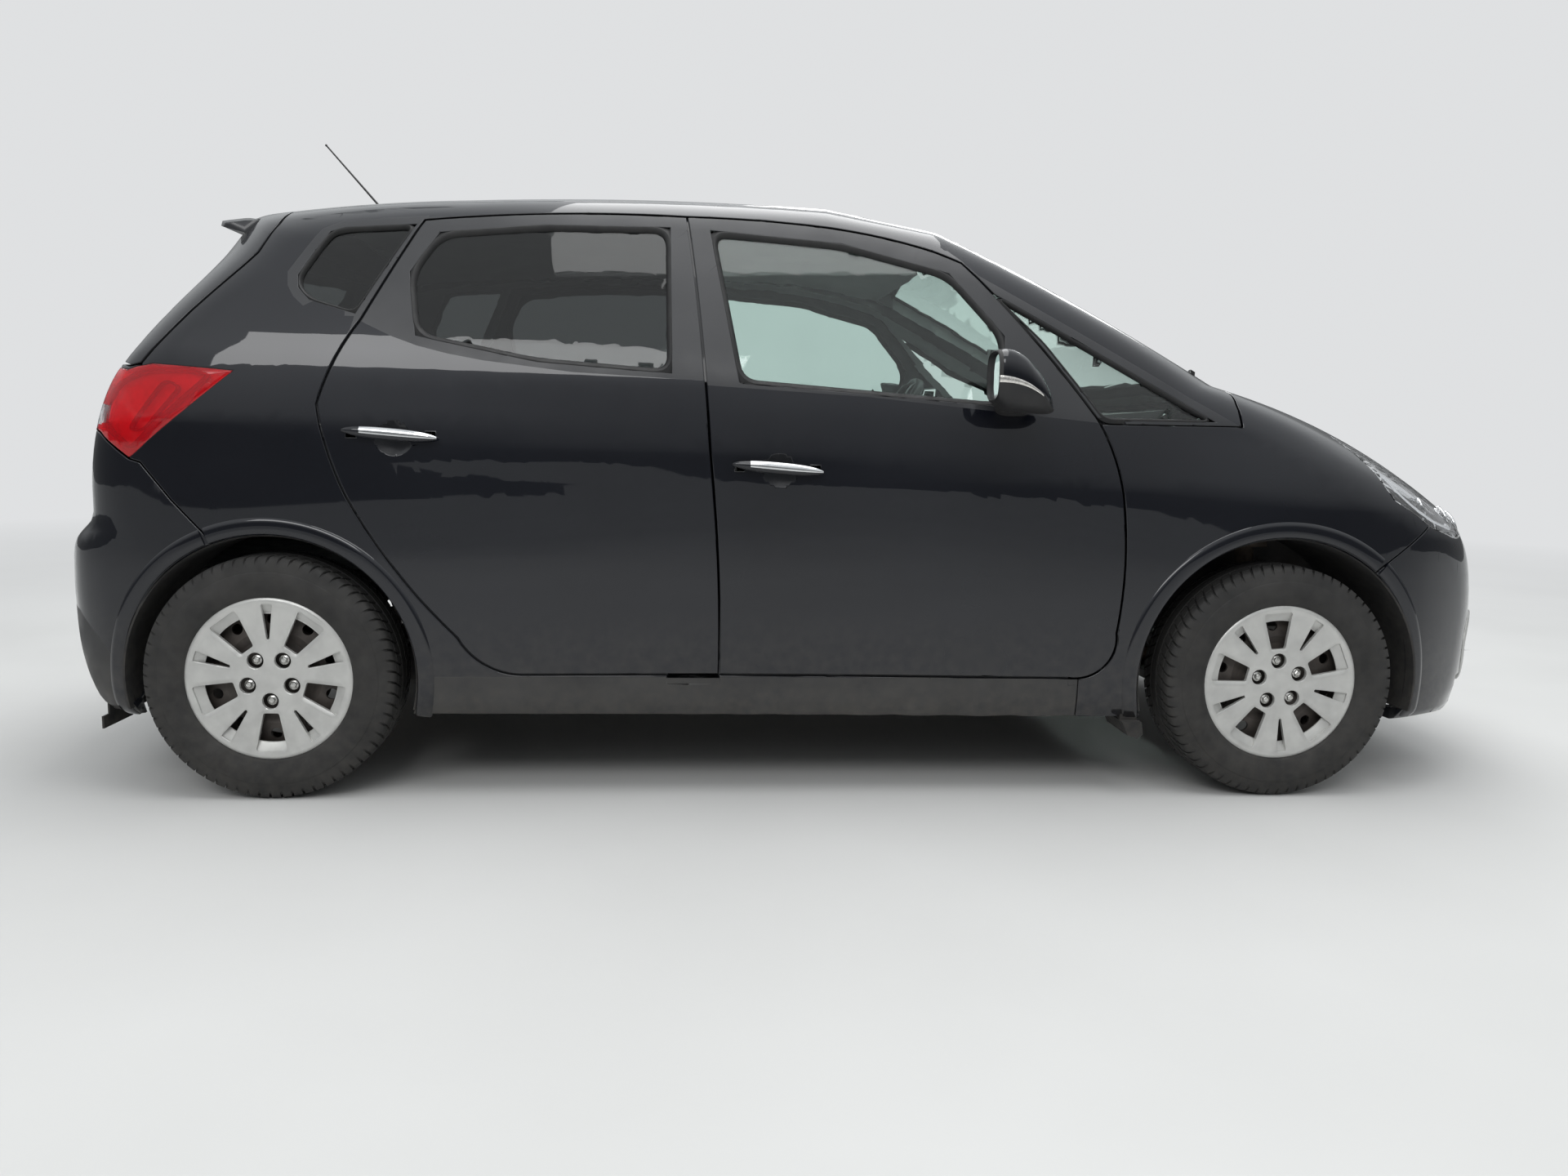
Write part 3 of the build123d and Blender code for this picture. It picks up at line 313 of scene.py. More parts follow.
def wave(tree, scale, detail=2.0, stretch=(1, 1, 1), kind="ShaderNodeTexNoise"):
    """A soft pattern over the piece's own place, that many cells to the metre."""
    place = tree.nodes.new("ShaderNodeTexCoord")
    turn = tree.nodes.new("ShaderNodeMapping")
    turn.inputs["Scale"].default_value = stretch
    pattern = tree.nodes.new(kind)
    pattern.inputs["Scale"].default_value = scale
    if "Detail" in pattern.inputs:
        pattern.inputs["Detail"].default_value = detail
    tree.links.new(place.outputs["Object"], turn.inputs["Vector"])
    tree.links.new(turn.outputs["Vector"], pattern.inputs["Vector"])
    return pattern.outputs["Fac"] if "Fac" in pattern.outputs else pattern.outputs["Distance"]


def spread(tree, value, low, high, out_low=0.0, out_high=1.0):
    """A value carried from one range to another, held at the ends."""
    node = tree.nodes.new("ShaderNodeMapRange")
    for socket, number in zip(("From Min", "From Max", "To Min", "To Max"), (low, high, out_low, out_high)):
        node.inputs[socket].default_value = number
    tree.links.new(value, node.inputs["Value"])
    return node.outputs["Result"]


def mixed(tree, amount, first, second):
    """Two colours, or colour outputs, mixed by an amount."""
    node = tree.nodes.new("ShaderNodeMix")
    node.data_type = "RGBA"
    tree.links.new(amount, node.inputs["Factor"])
    for socket, colour in ((node.inputs[6], first), (node.inputs[7], second)):
        if isinstance(colour, tuple):
            socket.default_value = (*colour, 1)
        else:
            tree.links.new(colour, socket)
    return node.outputs[2]


def times(tree, first, second):
    """The product of two values."""
    node = tree.nodes.new("ShaderNodeMath")
    node.operation = "MULTIPLY"
    for socket, value in zip(node.inputs, (first, second)):
        if isinstance(value, float):
            socket.default_value = value
        else:
            tree.links.new(value, socket)
    return node.outputs["Value"]


road_dust = (0.075, 0.068, 0.058)


def finish(name, tones, rough, patch=6.0, grain=0.0, depth=0.0, stretch=(1, 1, 1), dust=None, **fixed):
    """A finish: its colour drifts between two tones and its gloss between two roughnesses in patches, and
    a grain of so many cells to the metre stands in relief. Dust fades out between two heights."""
    material = bpy.data.materials.new(name)
    material.use_nodes = True
    tree = material.node_tree
    shader = tree.nodes["Principled BSDF"]
    for socket, number in fixed.items():
        shader.inputs[socket.replace("_", " ")].default_value = number
    patches = spread(tree, wave(tree, patch, 4.0), 0.35, 0.65)
    colour = mixed(tree, patches, tones[0], tones[1])
    gloss = spread(tree, wave(tree, patch * 2.3, 3.0), 0.3, 0.7, rough[0], rough[1])
    if dust:
        place = tree.nodes.new("ShaderNodeTexCoord")
        parts = tree.nodes.new("ShaderNodeSeparateXYZ")
        tree.links.new(place.outputs["Object"], parts.inputs["Vector"])
        low = spread(tree, parts.outputs["Z"], dust[0], dust[1], dust[2], 0.0)
        specks = spread(tree, wave(tree, 38.0, 6.0), 0.3, 0.75)
        amount = times(tree, low, specks)
        colour = mixed(tree, amount, colour, road_dust)
        node = tree.nodes.new("ShaderNodeMath")
        node.operation = "MAXIMUM"
        tree.links.new(gloss, node.inputs[0])
        tree.links.new(times(tree, amount, 0.8), node.inputs[1])
        gloss = node.outputs["Value"]
    tree.links.new(colour, shader.inputs["Base Color"])
    tree.links.new(gloss, shader.inputs["Roughness"])
    if depth:
        bump = tree.nodes.new("ShaderNodeBump")
        bump.inputs["Strength"].default_value = 0.6
        bump.inputs["Distance"].default_value = depth
        tree.links.new(wave(tree, grain, 2.0, stretch), bump.inputs["Height"])
        tree.links.new(bump.outputs["Normal"], shader.inputs["Normal"])
    return material


black_paint = finish(
    "black_paint", ((0.0045, 0.0052, 0.0085), (0.0065, 0.0075, 0.0115)), (0.26, 0.38), patch=1.6,
    grain=900.0, depth=0.00002, dust=(0.16, 0.50, 0.45), Metallic=0.2, Specular_IOR_Level=0.12, Coat_Weight=1.0,
    Coat_Roughness=0.02, Coat_IOR=1.5)
satin_black = finish(
    "satin_black", ((0.020, 0.021, 0.024), (0.030, 0.031, 0.034)), (0.34, 0.46), patch=4.0, grain=1400.0,
    depth=0.00004)
sill_plastic = finish(
    "sill_plastic", ((0.026, 0.026, 0.027), (0.042, 0.041, 0.040)), (0.42, 0.60), patch=7.0, grain=1800.0,
    depth=0.00006, dust=(0.18, 0.36, 0.8))
black_plastic = finish(
    "black_plastic", ((0.014, 0.014, 0.015), (0.026, 0.025, 0.025)), (0.50, 0.68), patch=9.0, grain=1500.0,
    depth=0.00008, dust=(0.10, 0.50, 0.7))
shut_face = finish(
    "shut_face", ((0.007, 0.008, 0.011), (0.010, 0.011, 0.014)), (0.35, 0.5), patch=5.0, grain=400.0,
    depth=0.00005, Coat_Weight=0.4)
trim_grey = finish(
    "trim_grey", ((0.055, 0.056, 0.060), (0.075, 0.076, 0.080)), (0.55, 0.7), patch=12.0, grain=900.0,
    depth=0.00012)
headliner = finish(
    "headliner", ((0.40, 0.41, 0.41), (0.48, 0.48, 0.47)), (0.85, 0.95), patch=10.0, grain=1600.0,
    depth=0.0002, Sheen_Weight=0.4)

front_belt = [(-0.420, 1.066), (-0.318, 1.062), (0.093, 1.041), (0.443, 1.009), (0.900, 0.969)]
rear_belt = [
    (-1.320, 1.285), (-1.163, 1.197), (-1.098, 1.167), (-1.032, 1.144), (-0.955, 1.126), (-0.872, 1.112),
    (-0.653, 1.088), (-0.407, 1.077), (-0.200, 1.070)]
sill_top = 0.318
quarter_trim = [
    (-1.286, 1.257), (-1.318, 1.238), (-1.345, 1.262), (-1.362, 1.290), (-1.366, 1.325), (-1.296, 1.446),
    (-1.250, 1.473), (-1.150, 1.483), (-1.020, 1.492)]
screen_side = [(0.250, 1.444), (0.427, 1.346), (1.022, 1.015), (1.100, 0.970)]
bumper_apron = [(-2.10, 0.515), (-1.905, 0.470), (-1.830, 0.400), (-1.760, 0.300), (-1.700, 0.270)]


def over_line(line, centres):
    """Which centres lie above a side-view line."""
    line = np.array(line)
    order = np.argsort(line[:, 0])
    return centres[:, 2] > np.interp(centres[:, 0], line[order, 0], line[order, 1])


def in_surround(centres):
    """Which centres lie in the rear quarter window's surround: a side-view ring that a line from each
    centre crosses an odd number of times."""
    x, z = centres[:, 0], centres[:, 2]
    ring = np.vstack([quarter_trim, [(-1.000, 1.470), (-1.150, 1.180)]])
    count = np.zeros(len(x), dtype=int)
    for (x0, z0), (x1, z1) in zip(ring, np.roll(ring, -1, axis=0)):
        crossing = (z0 > z) != (z1 > z)
        at = x0 + (z - z0) / (z1 - z0 if z1 != z0 else 1e-9) * (x1 - x0)
        count += crossing & (x < at)
    return count % 2 == 1


def dress_panel(node, body, cuts, choose, leave=None):
    """One painted panel: its finishes are paint, the inner face, satin black, the sill's plastic and the
    headliner, and choose says which where."""
    mesh, centres, facings, skin = panel_mesh(node, cuts, leave=leave)
    inward = (facings[:, 1] * centres[:, 1] < 0) & (np.abs(facings[:, 1]) > 0.5)
    index = np.where(skin, 0, 1)
    index = choose(index, centres, facings, skin, inward)
    mesh.polygons.foreach_set("material_index", index)
    return place_piece(
        node + "_skin", mesh, body, [black_paint, shut_face, satin_black, sill_plastic, headliner, trim_grey],
        [node])


def door_zones(belt):
    """A door is satin black above its belt line and trimmed inside."""
    def choose(index, centres, facings, skin, inward):
        index = np.where(skin & over_line(belt, centres), 2, index)
        return np.where(~skin & inward & (np.abs(centres[:, 1]) < 0.80), 5, index)
    return choose


def frame_zones(index, centres, facings, skin, inward):
    """A side frame has a plastic sill, a satin surround at its fixed windows and trimmed pillars."""
    x, z = centres[:, 0], centres[:, 2]
    index = np.where(skin & (z < sill_top) & (x > -1.06) & (x < 0.70), 3, index)
    index = np.where(skin & in_surround(centres), 2, index)
    index = np.where(skin & ~over_line(screen_side, centres) & (x > 0.30) & (z > 0.985), 2, index)
    lined = ~skin & inward & (np.abs(centres[:, 1]) < 0.82)
    return np.where(lined, np.where(z > 1.06, 4, 5), index)


def roof_zones(index, centres, facings, skin, inward):
    """The roof is lined inside."""
    return np.where(~skin & (facings[:, 2] < -0.4), 4, index)


def tail_zones(index, centres, facings, skin, inward):
    """The tailgate is trimmed inside."""
    return np.where(~skin & (facings[:, 0] > 0.4), 5, index)


def apron_zones(index, centres, facings, skin, inward):
    """The rear bumper's lower apron is bare plastic."""
    return np.where(skin & ~over_line(bumper_apron, centres) & (centres[:, 0] < -1.70), 3, index)


def plain_zones(index, centres, facings, skin, inward):
    """Painted all over."""
    return index


def at_bar(x, z):
    """The plain bar of the handle at that place, which the shaped one stands for."""
    half_long, half_tall, skin_y = 0.115, 0.015, 0.8725
    return lambda p: (
        (np.abs(p[:, 0] - x) < half_long) & (np.abs(p[:, 2] - z) < half_tall) & (np.abs(p[:, 1]) > skin_y))


frame_cuts = side_cuts(quarter_trim) + side_cuts(screen_side[1:3]) + [((0, 0, sill_top), (0, 0, 1))]
for side in ("right", "left"):
    dress_panel("side_frame_" + side, "body", frame_cuts, frame_zones)
    for row, belt, bar in (("front", front_belt, (-0.137, 0.858)), ("rear", rear_belt, (-1.092, 0.926))):
        door = "door_%s_%s" % (row, side)
        dress_panel(door, door, side_cuts(belt), door_zones(belt), at_bar(*bar))
dress_panel("roof_panel", "body", (), roof_zones)
dress_panel("front_wings", "body", (), plain_zones)
dress_panel("bonnet", "bonnet", (), plain_zones)
dress_panel("tailgate", "tailgate", (), tail_zones)
dress_panel("front_bumper", "body", (), plain_zones)
dress_panel("rear_bumper", "body", side_cuts(bumper_apron), apron_zones)

# Arch lips and window seals: a pressed flange that stands a few millimetres proud round each wheel
# opening, and black rubber lips round the door glass. Each is a profile carried along the body form.


def grid_mesh(name, grid, round_u=False, round_v=False, capped=False):
    """A mesh from a grid of points, one face to a cell. Either way round may close on itself, and the
    two ends of a tube may be capped."""
    n, m = grid.shape[:2]
    ids = np.arange(n * m).reshape(n, m)
    rows = n if round_u else n - 1
    cols = m if round_v else m - 1
    after = np.roll(ids, -1, 0)
    cells = np.stack([ids, after, np.roll(after, -1, 1), np.roll(ids, -1, 1)], -1)[:rows, :cols]
    faces = cells.reshape(-1, 4).tolist()
    if capped:
        faces += [ids[0].tolist(), ids[-1][::-1].tolist()]
    mesh = bpy.data.meshes.new(name)
    mesh.from_pydata(grid.reshape(-1, 3).tolist(), [], faces)
    mesh.polygons.foreach_set("use_smooth", np.ones(len(faces), dtype=bool))
    if capped or (round_u and round_v):
        turn_out(mesh)
    return mesh


def turn_out(mesh, sharp=None):
    """Closed walls turned to face outwards, and edges past an angle kept crisp."""
    bm = bmesh.new()
    bm.from_mesh(mesh)
    bmesh.ops.recalc_face_normals(bm, faces=bm.faces)
    bm.to_mesh(mesh)
    bm.free()
    if sharp:
        mesh.set_sharp_from_angle(angle=np.radians(sharp))
    return mesh


def joined(name, meshes):
    """Several meshes made one, with their material numbers kept."""
    bm = bmesh.new()
    for mesh in meshes:
        bm.from_mesh(mesh)
        bpy.data.meshes.remove(mesh)
    whole = bpy.data.meshes.new(name)
    bm.to_mesh(whole)
    bm.free()
    return whole


def unit(v):
    """Vectors scaled to length one."""
    return v / np.maximum(np.linalg.norm(v, axis=-1, keepdims=True), 1e-12)


def on_side(line, side=-1, height=0.0):
    """Points of the body form beside a side-view line (x, z), and its outward slope there: y steps
    inwards by the distance left until the form is met."""
    line = np.array(line, dtype=float)
    p = np.stack([line[:, 0], np.full(len(line), 0.98), line[:, 1]], 1)
    for i in range(14):
        p[:, 1] -= height_over(p) - height
    out = slope_of(p)
    return p * [1, side * 1.0, 1], out * [1, side * 1.0, 1]


def evenly(line, step, closed=False):
    """Points every so far along a line of straight runs, its corners kept."""
    line = np.array(line, dtype=float)
    line = np.vstack([line, line[:1]]) if closed else line
    out = []
    for a, b in zip(line, line[1:]):
        count = max(1, int(np.ceil(np.linalg.norm(b - a) / step)))
        out.append(a + (b - a) * np.linspace(0, 1, count, endpoint=False)[:, None])
    return np.vstack(out if closed else out + [line[-1:]])


def carried(name, path, out, profile, closed=False):
    """A closed profile carried along a path: each of its points lies so far across the path and so far
    out along the outward direction."""
    ahead = np.roll(path, -1, 0) - np.roll(path, 1, 0)
    if not closed:
        ahead[0], ahead[-1] = path[1] - path[0], path[-1] - path[-2]
    across = unit(np.cross(out, unit(ahead)))
    profile = np.array(profile)
    grid = path[:, None] + across[:, None] * profile[None, :, :1] + out[:, None] * profile[None, :, 1:]
    return grid_mesh(name, grid, closed, True, not closed)


def both_sides(make):
    """The same small mesh made for the right side and for the left, as one."""
    return joined("pair", [make(-1), make(1)])


arch_spans = [  # axle x, hole radius, first and last angle, name of the panel it belongs to
    (1.210, 0.385, 51.0, 195.5, "wing"), (1.210, 0.385, 48.9, -15.5, "front_bumper"),
    (-1.405, 0.363, 111.2, -15.5, "quarter"), (-1.405, 0.363, 112.8, 197.0, "rear_bumper")]
lip_section = [
    (0.0, -0.016), (0.002, 0.0005), (0.006, 0.0034), (0.016, 0.0042), (0.032, 0.0040), (0.041, 0.0030),
    (0.0445, -0.0015), (0.043, -0.004), (0.020, -0.004), (0.004, -0.006)]
axle_z = 0.312


def arch_lip(x, radius, first, last, side):
    """A flange along an arc round the axle, from the hole's edge outwards."""
    turn = np.radians(np.linspace(first, last, 90))
    line = np.stack([x + (radius - 0.002) * np.cos(turn), axle_z + (radius - 0.002) * np.sin(turn)], 1)
    path, out = on_side(line, side)
    centre = np.array([x, 0, axle_z])
    away = path - centre
    away[:, 1] = 0
    away = unit(away)
    away = unit(away - out * np.sum(away * out, 1)[:, None])
    profile = np.array(lip_section)
    grid = path[:, None] + away[:, None] * profile[None, :, :1] + out[:, None] * profile[None, :, 1:]
    return grid_mesh("lip", grid, False, True, True)


for x, radius, first, last, title in arch_spans:
    mesh = both_sides(lambda side: arch_lip(x, radius, first, last, side))
    turn_out(mesh, 50)
    place_piece("arch_lip_" + title, mesh, "body", [black_paint])

door_windows = {
    "front": [(-0.235, 1.070), (0.440, 1.024), (0.452, 1.205), (0.312, 1.368), (0.030, 1.440), (-0.312, 1.466)],
    "rear": [
        (-0.405, 1.090), (-0.416, 1.471), (-0.740, 1.468), (-1.000, 1.441), (-1.066, 1.333), (-1.040, 1.170),
        (-0.740, 1.112)],
}
seal_section = [
    (-0.008, -0.0125), (-0.008, -0.0100), (-0.004, -0.0040), (0.000, -0.0004), (0.004, 0.0006), (0.007, -0.0010),
    (0.020, -0.0060), (0.022, -0.0120)]
rubber = finish(
    "rubber", ((0.010, 0.010, 0.011), (0.017, 0.017, 0.017)), (0.55, 0.72), patch=14.0, grain=2200.0,
    depth=0.00005)


def grown_line(line, amount):
    """A closed line moved outwards: each corner goes along the sum of its two sides' normals."""
    line = np.array(line, dtype=float)
    run = unit(np.roll(line, -1, 0) - line)
    normal = np.stack([run[:, 1], -run[:, 0]], 1)
    turn = np.sign(np.sum(normal * (line - line.mean(0))))
    before = np.roll(normal, 1, 0)
    return line + (normal + before) * turn * amount / (1 + np.sum(normal * before, 1))[:, None]


def rounded(line, reach, count=7):
    """A closed line with each corner replaced by a parabola between two points that far from it."""
    line = np.array(line, dtype=float)
    t = np.linspace(0, 1, count)[:, None]
    out = []
    for before, at, after in zip(np.roll(line, 1, 0), line, np.roll(line, -1, 0)):
        back, on = before - at, after - at
        a = at + back * min(0.45, reach / np.linalg.norm(back))
        b = at + on * min(0.45, reach / np.linalg.norm(on))
        out.append(a * (1 - t) ** 2 + at * 2 * t * (1 - t) + b * t ** 2)
    return np.vstack(out)


def window_seal(line, side, reach=0.045, width=1.0):
    """A moulded rubber seal round a pane, its corners rounder than the opening's: it rises from the
    glass to the frame's skin and runs under it."""
    path, out = on_side(evenly(rounded(grown_line(line, -0.004), reach), 0.02, True), side)
    ahead = np.roll(path, -1, 0) - path
    sense = np.sign(np.sum(np.cross(out, ahead) * (path - path.mean(0))))
    mesh = carried("seal", path, out, [(u * sense * width, v) for u, v in seal_section], True)
    return turn_out(mesh, 40)


fixed_windows = {
    "front_quarter": [(0.706, 0.994), (1.010, 0.994), (0.415, 1.325), (0.552, 1.190)],
    "rear_quarter": [
        (-1.190, 1.222), (-1.062, 1.462), (-1.238, 1.450), (-1.275, 1.437), (-1.340, 1.318), (-1.335, 1.285),
        (-1.306, 1.255)],
}
for side, title in ((-1, "right"), (1, "left")):
    for name, line in fixed_windows.items():
        mesh = window_seal(line, side, 0.025, 0.6)
        place_piece("seal_%s_%s" % (name, title), mesh, "body", [rubber])
    for door, line in door_windows.items():
        mesh = window_seal(line, side)
        place_piece(
            "seal_%s_%s" % (door, title), mesh, "door_%s_%s" % (door, title), [rubber])

# Glass: laminated windscreen with a black printed border, toughened side panes, clear and a little
# green in front, dark behind, each seated in its frame on a bead.


def tint(name, colour):
    """Clear glass of one colour, with faint smears in its gloss."""
    return finish(
        name, (colour, tuple(c * 0.96 for c in colour)), (0.004, 0.016), patch=2.0, Transmission_Weight=1.0,
        IOR=1.45)


clear_glass = tint("clear_glass", (0.84, 0.92, 0.89))
green_glass = tint("green_glass", (0.74, 0.86, 0.82))
dark_glass = tint("dark_glass", (0.20, 0.215, 0.215))
printed_border = finish(
    "printed_border", ((0.006, 0.006, 0.007), (0.010, 0.010, 0.011)), (0.12, 0.2), patch=5.0, grain=600.0,
    depth=0.00001)
screen_border = [
    (1.045, -0.60), (1.105, -0.42), (1.150, -0.20), (1.165, 0.0), (1.150, 0.20), (1.105, 0.42), (1.045, 0.60)]


def pane(node, body, material, slot, cuts=(), border=None):
    """A CAD pane eased onto the body form, with its printed border where one is given."""
    mesh, centres, facings, skin = panel_mesh(node, cuts, pane=True)
    index = border(centres).astype(int) if border else np.zeros(len(centres), dtype=int)
    mesh.polygons.foreach_set("material_index", index)
    return place_piece(node + "_pane", mesh, body, [material, printed_border], [node])


def screen_edge(centres):
    """The windscreen's border: below an arc at its foot, and strips at its top and sides."""
    line = np.array(screen_border)
    foot = centres[:, 0] > np.interp(np.abs(centres[:, 1]), line[3:, 1], line[3:, 0])
    side = np.abs(centres[:, 1]) > 0.555 + 0.115 * np.clip((centres[:, 0] - 0.34) / 0.67, 0, 1)
    return foot | side | (centres[:, 0] < 0.372)


def tail_edge(centres):
    """The rear window's border: outside a trapezium."""
    y, z = np.abs(centres[:, 1]), centres[:, 2]
    return (z < 1.182) | (z > 1.424) | (y > 0.560 - 0.07 * (z - 1.182) / 0.242)


plan_lines = [
    ((x0, y0, 0), (y1 - y0, x0 - x1, 0)) for (x0, y0), (x1, y1) in zip(screen_border, screen_border[1:])]
plan_lines += [((0.34, s * 0.555, 0), (-s * 0.115, 0.67, 0)) for s in (-1, 1)] + [((0.372, 0, 0), (1, 0, 0))]
rear_lines = [((0, 0, z), (0, 0, 1)) for z in (1.182, 1.424)]
rear_lines += [((0, s * 0.560, 1.182), (0, s * 0.242, 0.07)) for s in (-1, 1)]
pane("windscreen", "body", green_glass, "glass", plan_lines, screen_edge)
pane("tailgate_glass", "tailgate", dark_glass, "dark_glass", rear_lines, tail_edge)
pane("fixed_side_glass", "body", dark_glass, "dark_glass")
fixed_panes = bpy.data.objects["fixed_side_glass_pane"]
fixed_panes.data.materials.append(clear_glass)
front_panes = read_flat(fixed_panes.data.polygons, "center", 3)[:, 0] > 0
fixed_panes.data.polygons.foreach_set("material_index", np.where(front_panes, 2, 0))
for title in ("right", "left"):
    pane("door_glass_front_" + title, "door_front_" + title, green_glass, "glass")
    pane("door_glass_rear_" + title, "door_rear_" + title, dark_glass, "dark_glass")

# Lamps: moulded clear and red lenses over bright trays, with bowls, bulbs and flutes inside. The tray
# is the lens's own surface set back, joined to it by a wall all round.
lens_clear = tint("lens_clear", (0.96, 0.97, 0.98))
lens_red = finish(
    "lens_red", ((0.97, 0.010, 0.030), (0.90, 0.006, 0.020)), (0.01, 0.04), patch=14.0, grain=70.0, depth=0.0002,
    stretch=(0.4, 0.4, 6), Transmission_Weight=0.80, IOR=1.49, Specular_IOR_Level=0.3, Coat_Weight=0.2)
bright = finish(
    "bright", ((0.78, 0.79, 0.80), (0.70, 0.71, 0.72)), (0.08, 0.18), patch=20.0, grain=70.0, depth=0.0006,
    Metallic=1.0)
lamp_black = finish(
    "lamp_black", ((0.02, 0.021, 0.023), (0.035, 0.036, 0.038)), (0.25, 0.4), patch=15.0, grain=300.0, depth=0.0001)
tray_red = finish(
    "tray_red", ((0.95, 0.62, 0.60), (0.80, 0.42, 0.40)), (0.2, 0.4), patch=25.0, grain=110.0, depth=0.0012,
    stretch=(1, 1, 5), Metallic=0.1)
tail_dark = finish(
    "tail_dark", ((0.20, 0.004, 0.008), (0.13, 0.003, 0.006)), (0.10, 0.22), patch=30.0, grain=300.0, depth=0.0002,
    Coat_Weight=0.8)


def lens_and_tray(node, thick, deep, set_in=0.0, cuts=()):
    """Two meshes from a lamp's outer skin, eased onto the body form: the lens, that sheet given a
    thickness, and the tray, the sheet set back with a wall round it."""
    mesh, centres, facings, skin = panel_mesh(node, cuts, set_in=set_in)
    bm = bmesh.new()
    bm.from_mesh(mesh)
    bpy.data.meshes.remove(mesh)
    bmesh.ops.delete(bm, geom=[f for f, s in zip(bm.faces, skin) if not s], context="FACES")
    bm.verts.index_update()
    places = np.array([v.co for v in bm.verts])
    faces = [[v.index for v in f.verts] for f in bm.faces]
    rim = [[v.index for v in e.verts] for e in bm.edges if e.is_boundary]
    bm.free()
    slope = slope_of(places)
    count = len(places)
    walls = [[a, b, b + count, a + count] for a, b in rim]
    behind = [[i + count for i in f] for f in faces]
    lens = bpy.data.meshes.new(node + "_lens")
    lens.from_pydata(
        np.vstack([places + slope * 0.0006, places - slope * thick]).tolist(), [],
        faces + [f[::-1] for f in behind] + walls)
    tray = bpy.data.meshes.new(node + "_tray")
    tray.from_pydata(
        np.vstack([places - slope * (thick + 0.0004), places - slope * deep]).tolist(), [], behind + walls)
    for made in (lens, tray):
        made.polygons.foreach_set("use_smooth", np.ones(len(made.polygons), dtype=bool))
        turn_out(made, 40)
    first = tray.polygons[0]
    if np.array(first.normal) @ slope_of(np.array(first.center)[None])[0] < 0:
        tray.flip_normals()
    return lens, tray


def bowl(centre, aim, radius, depth, rings=14, sides=40):
    """A reflector: a paraboloid bowl, radius times the root of depth, facing along its aim."""
    aim = unit(np.array(aim, dtype=float))
    across = unit(np.cross(aim, [0, 0, 1.0]))
    over = np.cross(across, aim)
    s = np.linspace(0.02, 1, rings)[:, None]
    turn = np.linspace(0, 2 * np.pi, sides, endpoint=False)[None]
    grid = (np.array(centre) + across * (radius * s * np.cos(turn))[..., None]
            + over * (radius * s * np.sin(turn))[..., None] + aim * (depth * (s ** 2 - 1))[..., None])
    return grid_mesh("bowl", grid, False, True)


def turned(centre, aim, outline, sides=32):
    """A turned piece: an outline of (along, radius) spun round its aim."""
    aim = unit(np.array(aim, dtype=float))
    across = unit(np.cross(aim, [0, 0, 1.0] if abs(aim[2]) < 0.9 else [1.0, 0, 0]))
    over = np.cross(across, aim)
    outline = np.array(outline)
    turn = np.linspace(0, 2 * np.pi, sides, endpoint=False)[None]
    along, r = outline[:, :1], outline[:, 1:]
    grid = (np.array(centre) + aim * (along + 0 * turn)[..., None] + across * (r * np.cos(turn))[..., None]
            + over * (r * np.sin(turn))[..., None])
    return grid_mesh("turned", grid, False, True, True)


clear_panel = [(-1.905, 0.990), (-1.776, 0.990), (-1.782, 0.962), (-1.800, 0.942), (-1.822, 0.934), (-1.905, 0.934)]
for node, lens_finish, tray_finish, deep, set_in in (
        ("headlamps", lens_clear, lamp_black, 0.030, 0.0), ("tail_lamps", lens_red, tray_red, 0.022, 0.0),
        ("fog_lamps", lens_clear, bright, 0.020, 0.006)):
    tail = node == "tail_lamps"
    lens, tray = lens_and_tray(node, 0.003, deep, set_in, side_cuts(clear_panel) if tail else ())
    finishes = [lens_finish]
    if tail:
        finishes.append(lens_clear)
        at = read_flat(lens.polygons, "center", 3)
        edge = np.array(clear_panel)
        right = np.interp(at[:, 2], edge[4:0:-1, 1], edge[4:0:-1, 0])
        pale = (at[:, 0] < right) & (at[:, 2] < 0.990) & (at[:, 2] > 0.934)
        lens.polygons.foreach_set("material_index", pale.astype(int))
    slot = "lamp_red" if node == "tail_lamps" else "lamp_clear"
    place_piece(node + "_lens", lens, "body", finishes, [node])
    piece = place_piece(node + "_tray", tray, "body", [tray_finish], [node])
    wall = piece.modifiers.new("wall", "SOLIDIFY")
    wall.thickness = 0.0015

# Inside each tail lamp a dark red moulding follows the lens's edge and divides it in slanting panels.
tail_ribs = [  # closed side-view lines under the lens, and how wide the rib is
    ([(-1.530, 1.066), (-1.600, 1.074), (-1.700, 1.070), (-1.770, 1.040), (-1.812, 0.985), (-1.815, 0.945),
      (-1.728, 0.880)], 0.0045),
    ([(-1.640, 1.050), (-1.730, 0.925), (-1.690, 0.925), (-1.600, 1.035)], 0.0030)]
rib_section = [(-1.0, -0.018), (-1.0, -0.0062), (-0.5, -0.0052), (0.5, -0.0052), (1.0, -0.0062), (1.0, -0.018)]


def tail_rib(side):
    made = []
    for line, wide in tail_ribs:
        path, out = on_side(evenly(rounded(line, 0.02), 0.012, True), side)
        made.append(carried("rib", path, out, [(u * wide, v) for u, v in rib_section], True))
    return turn_out(joined("ribs", made), 45)


place_piece("tail_lamp_ribs", both_sides(tail_rib), "body", [tail_dark])

lamp_bowls = [  # x, y, depth under the lens, radius and depth of the bowl
    (1.838, 0.560, 0.008, 0.040, 0.020), (1.745, 0.668, 0.008, 0.034, 0.018), (1.625, 0.752, 0.008, 0.022, 0.014)]


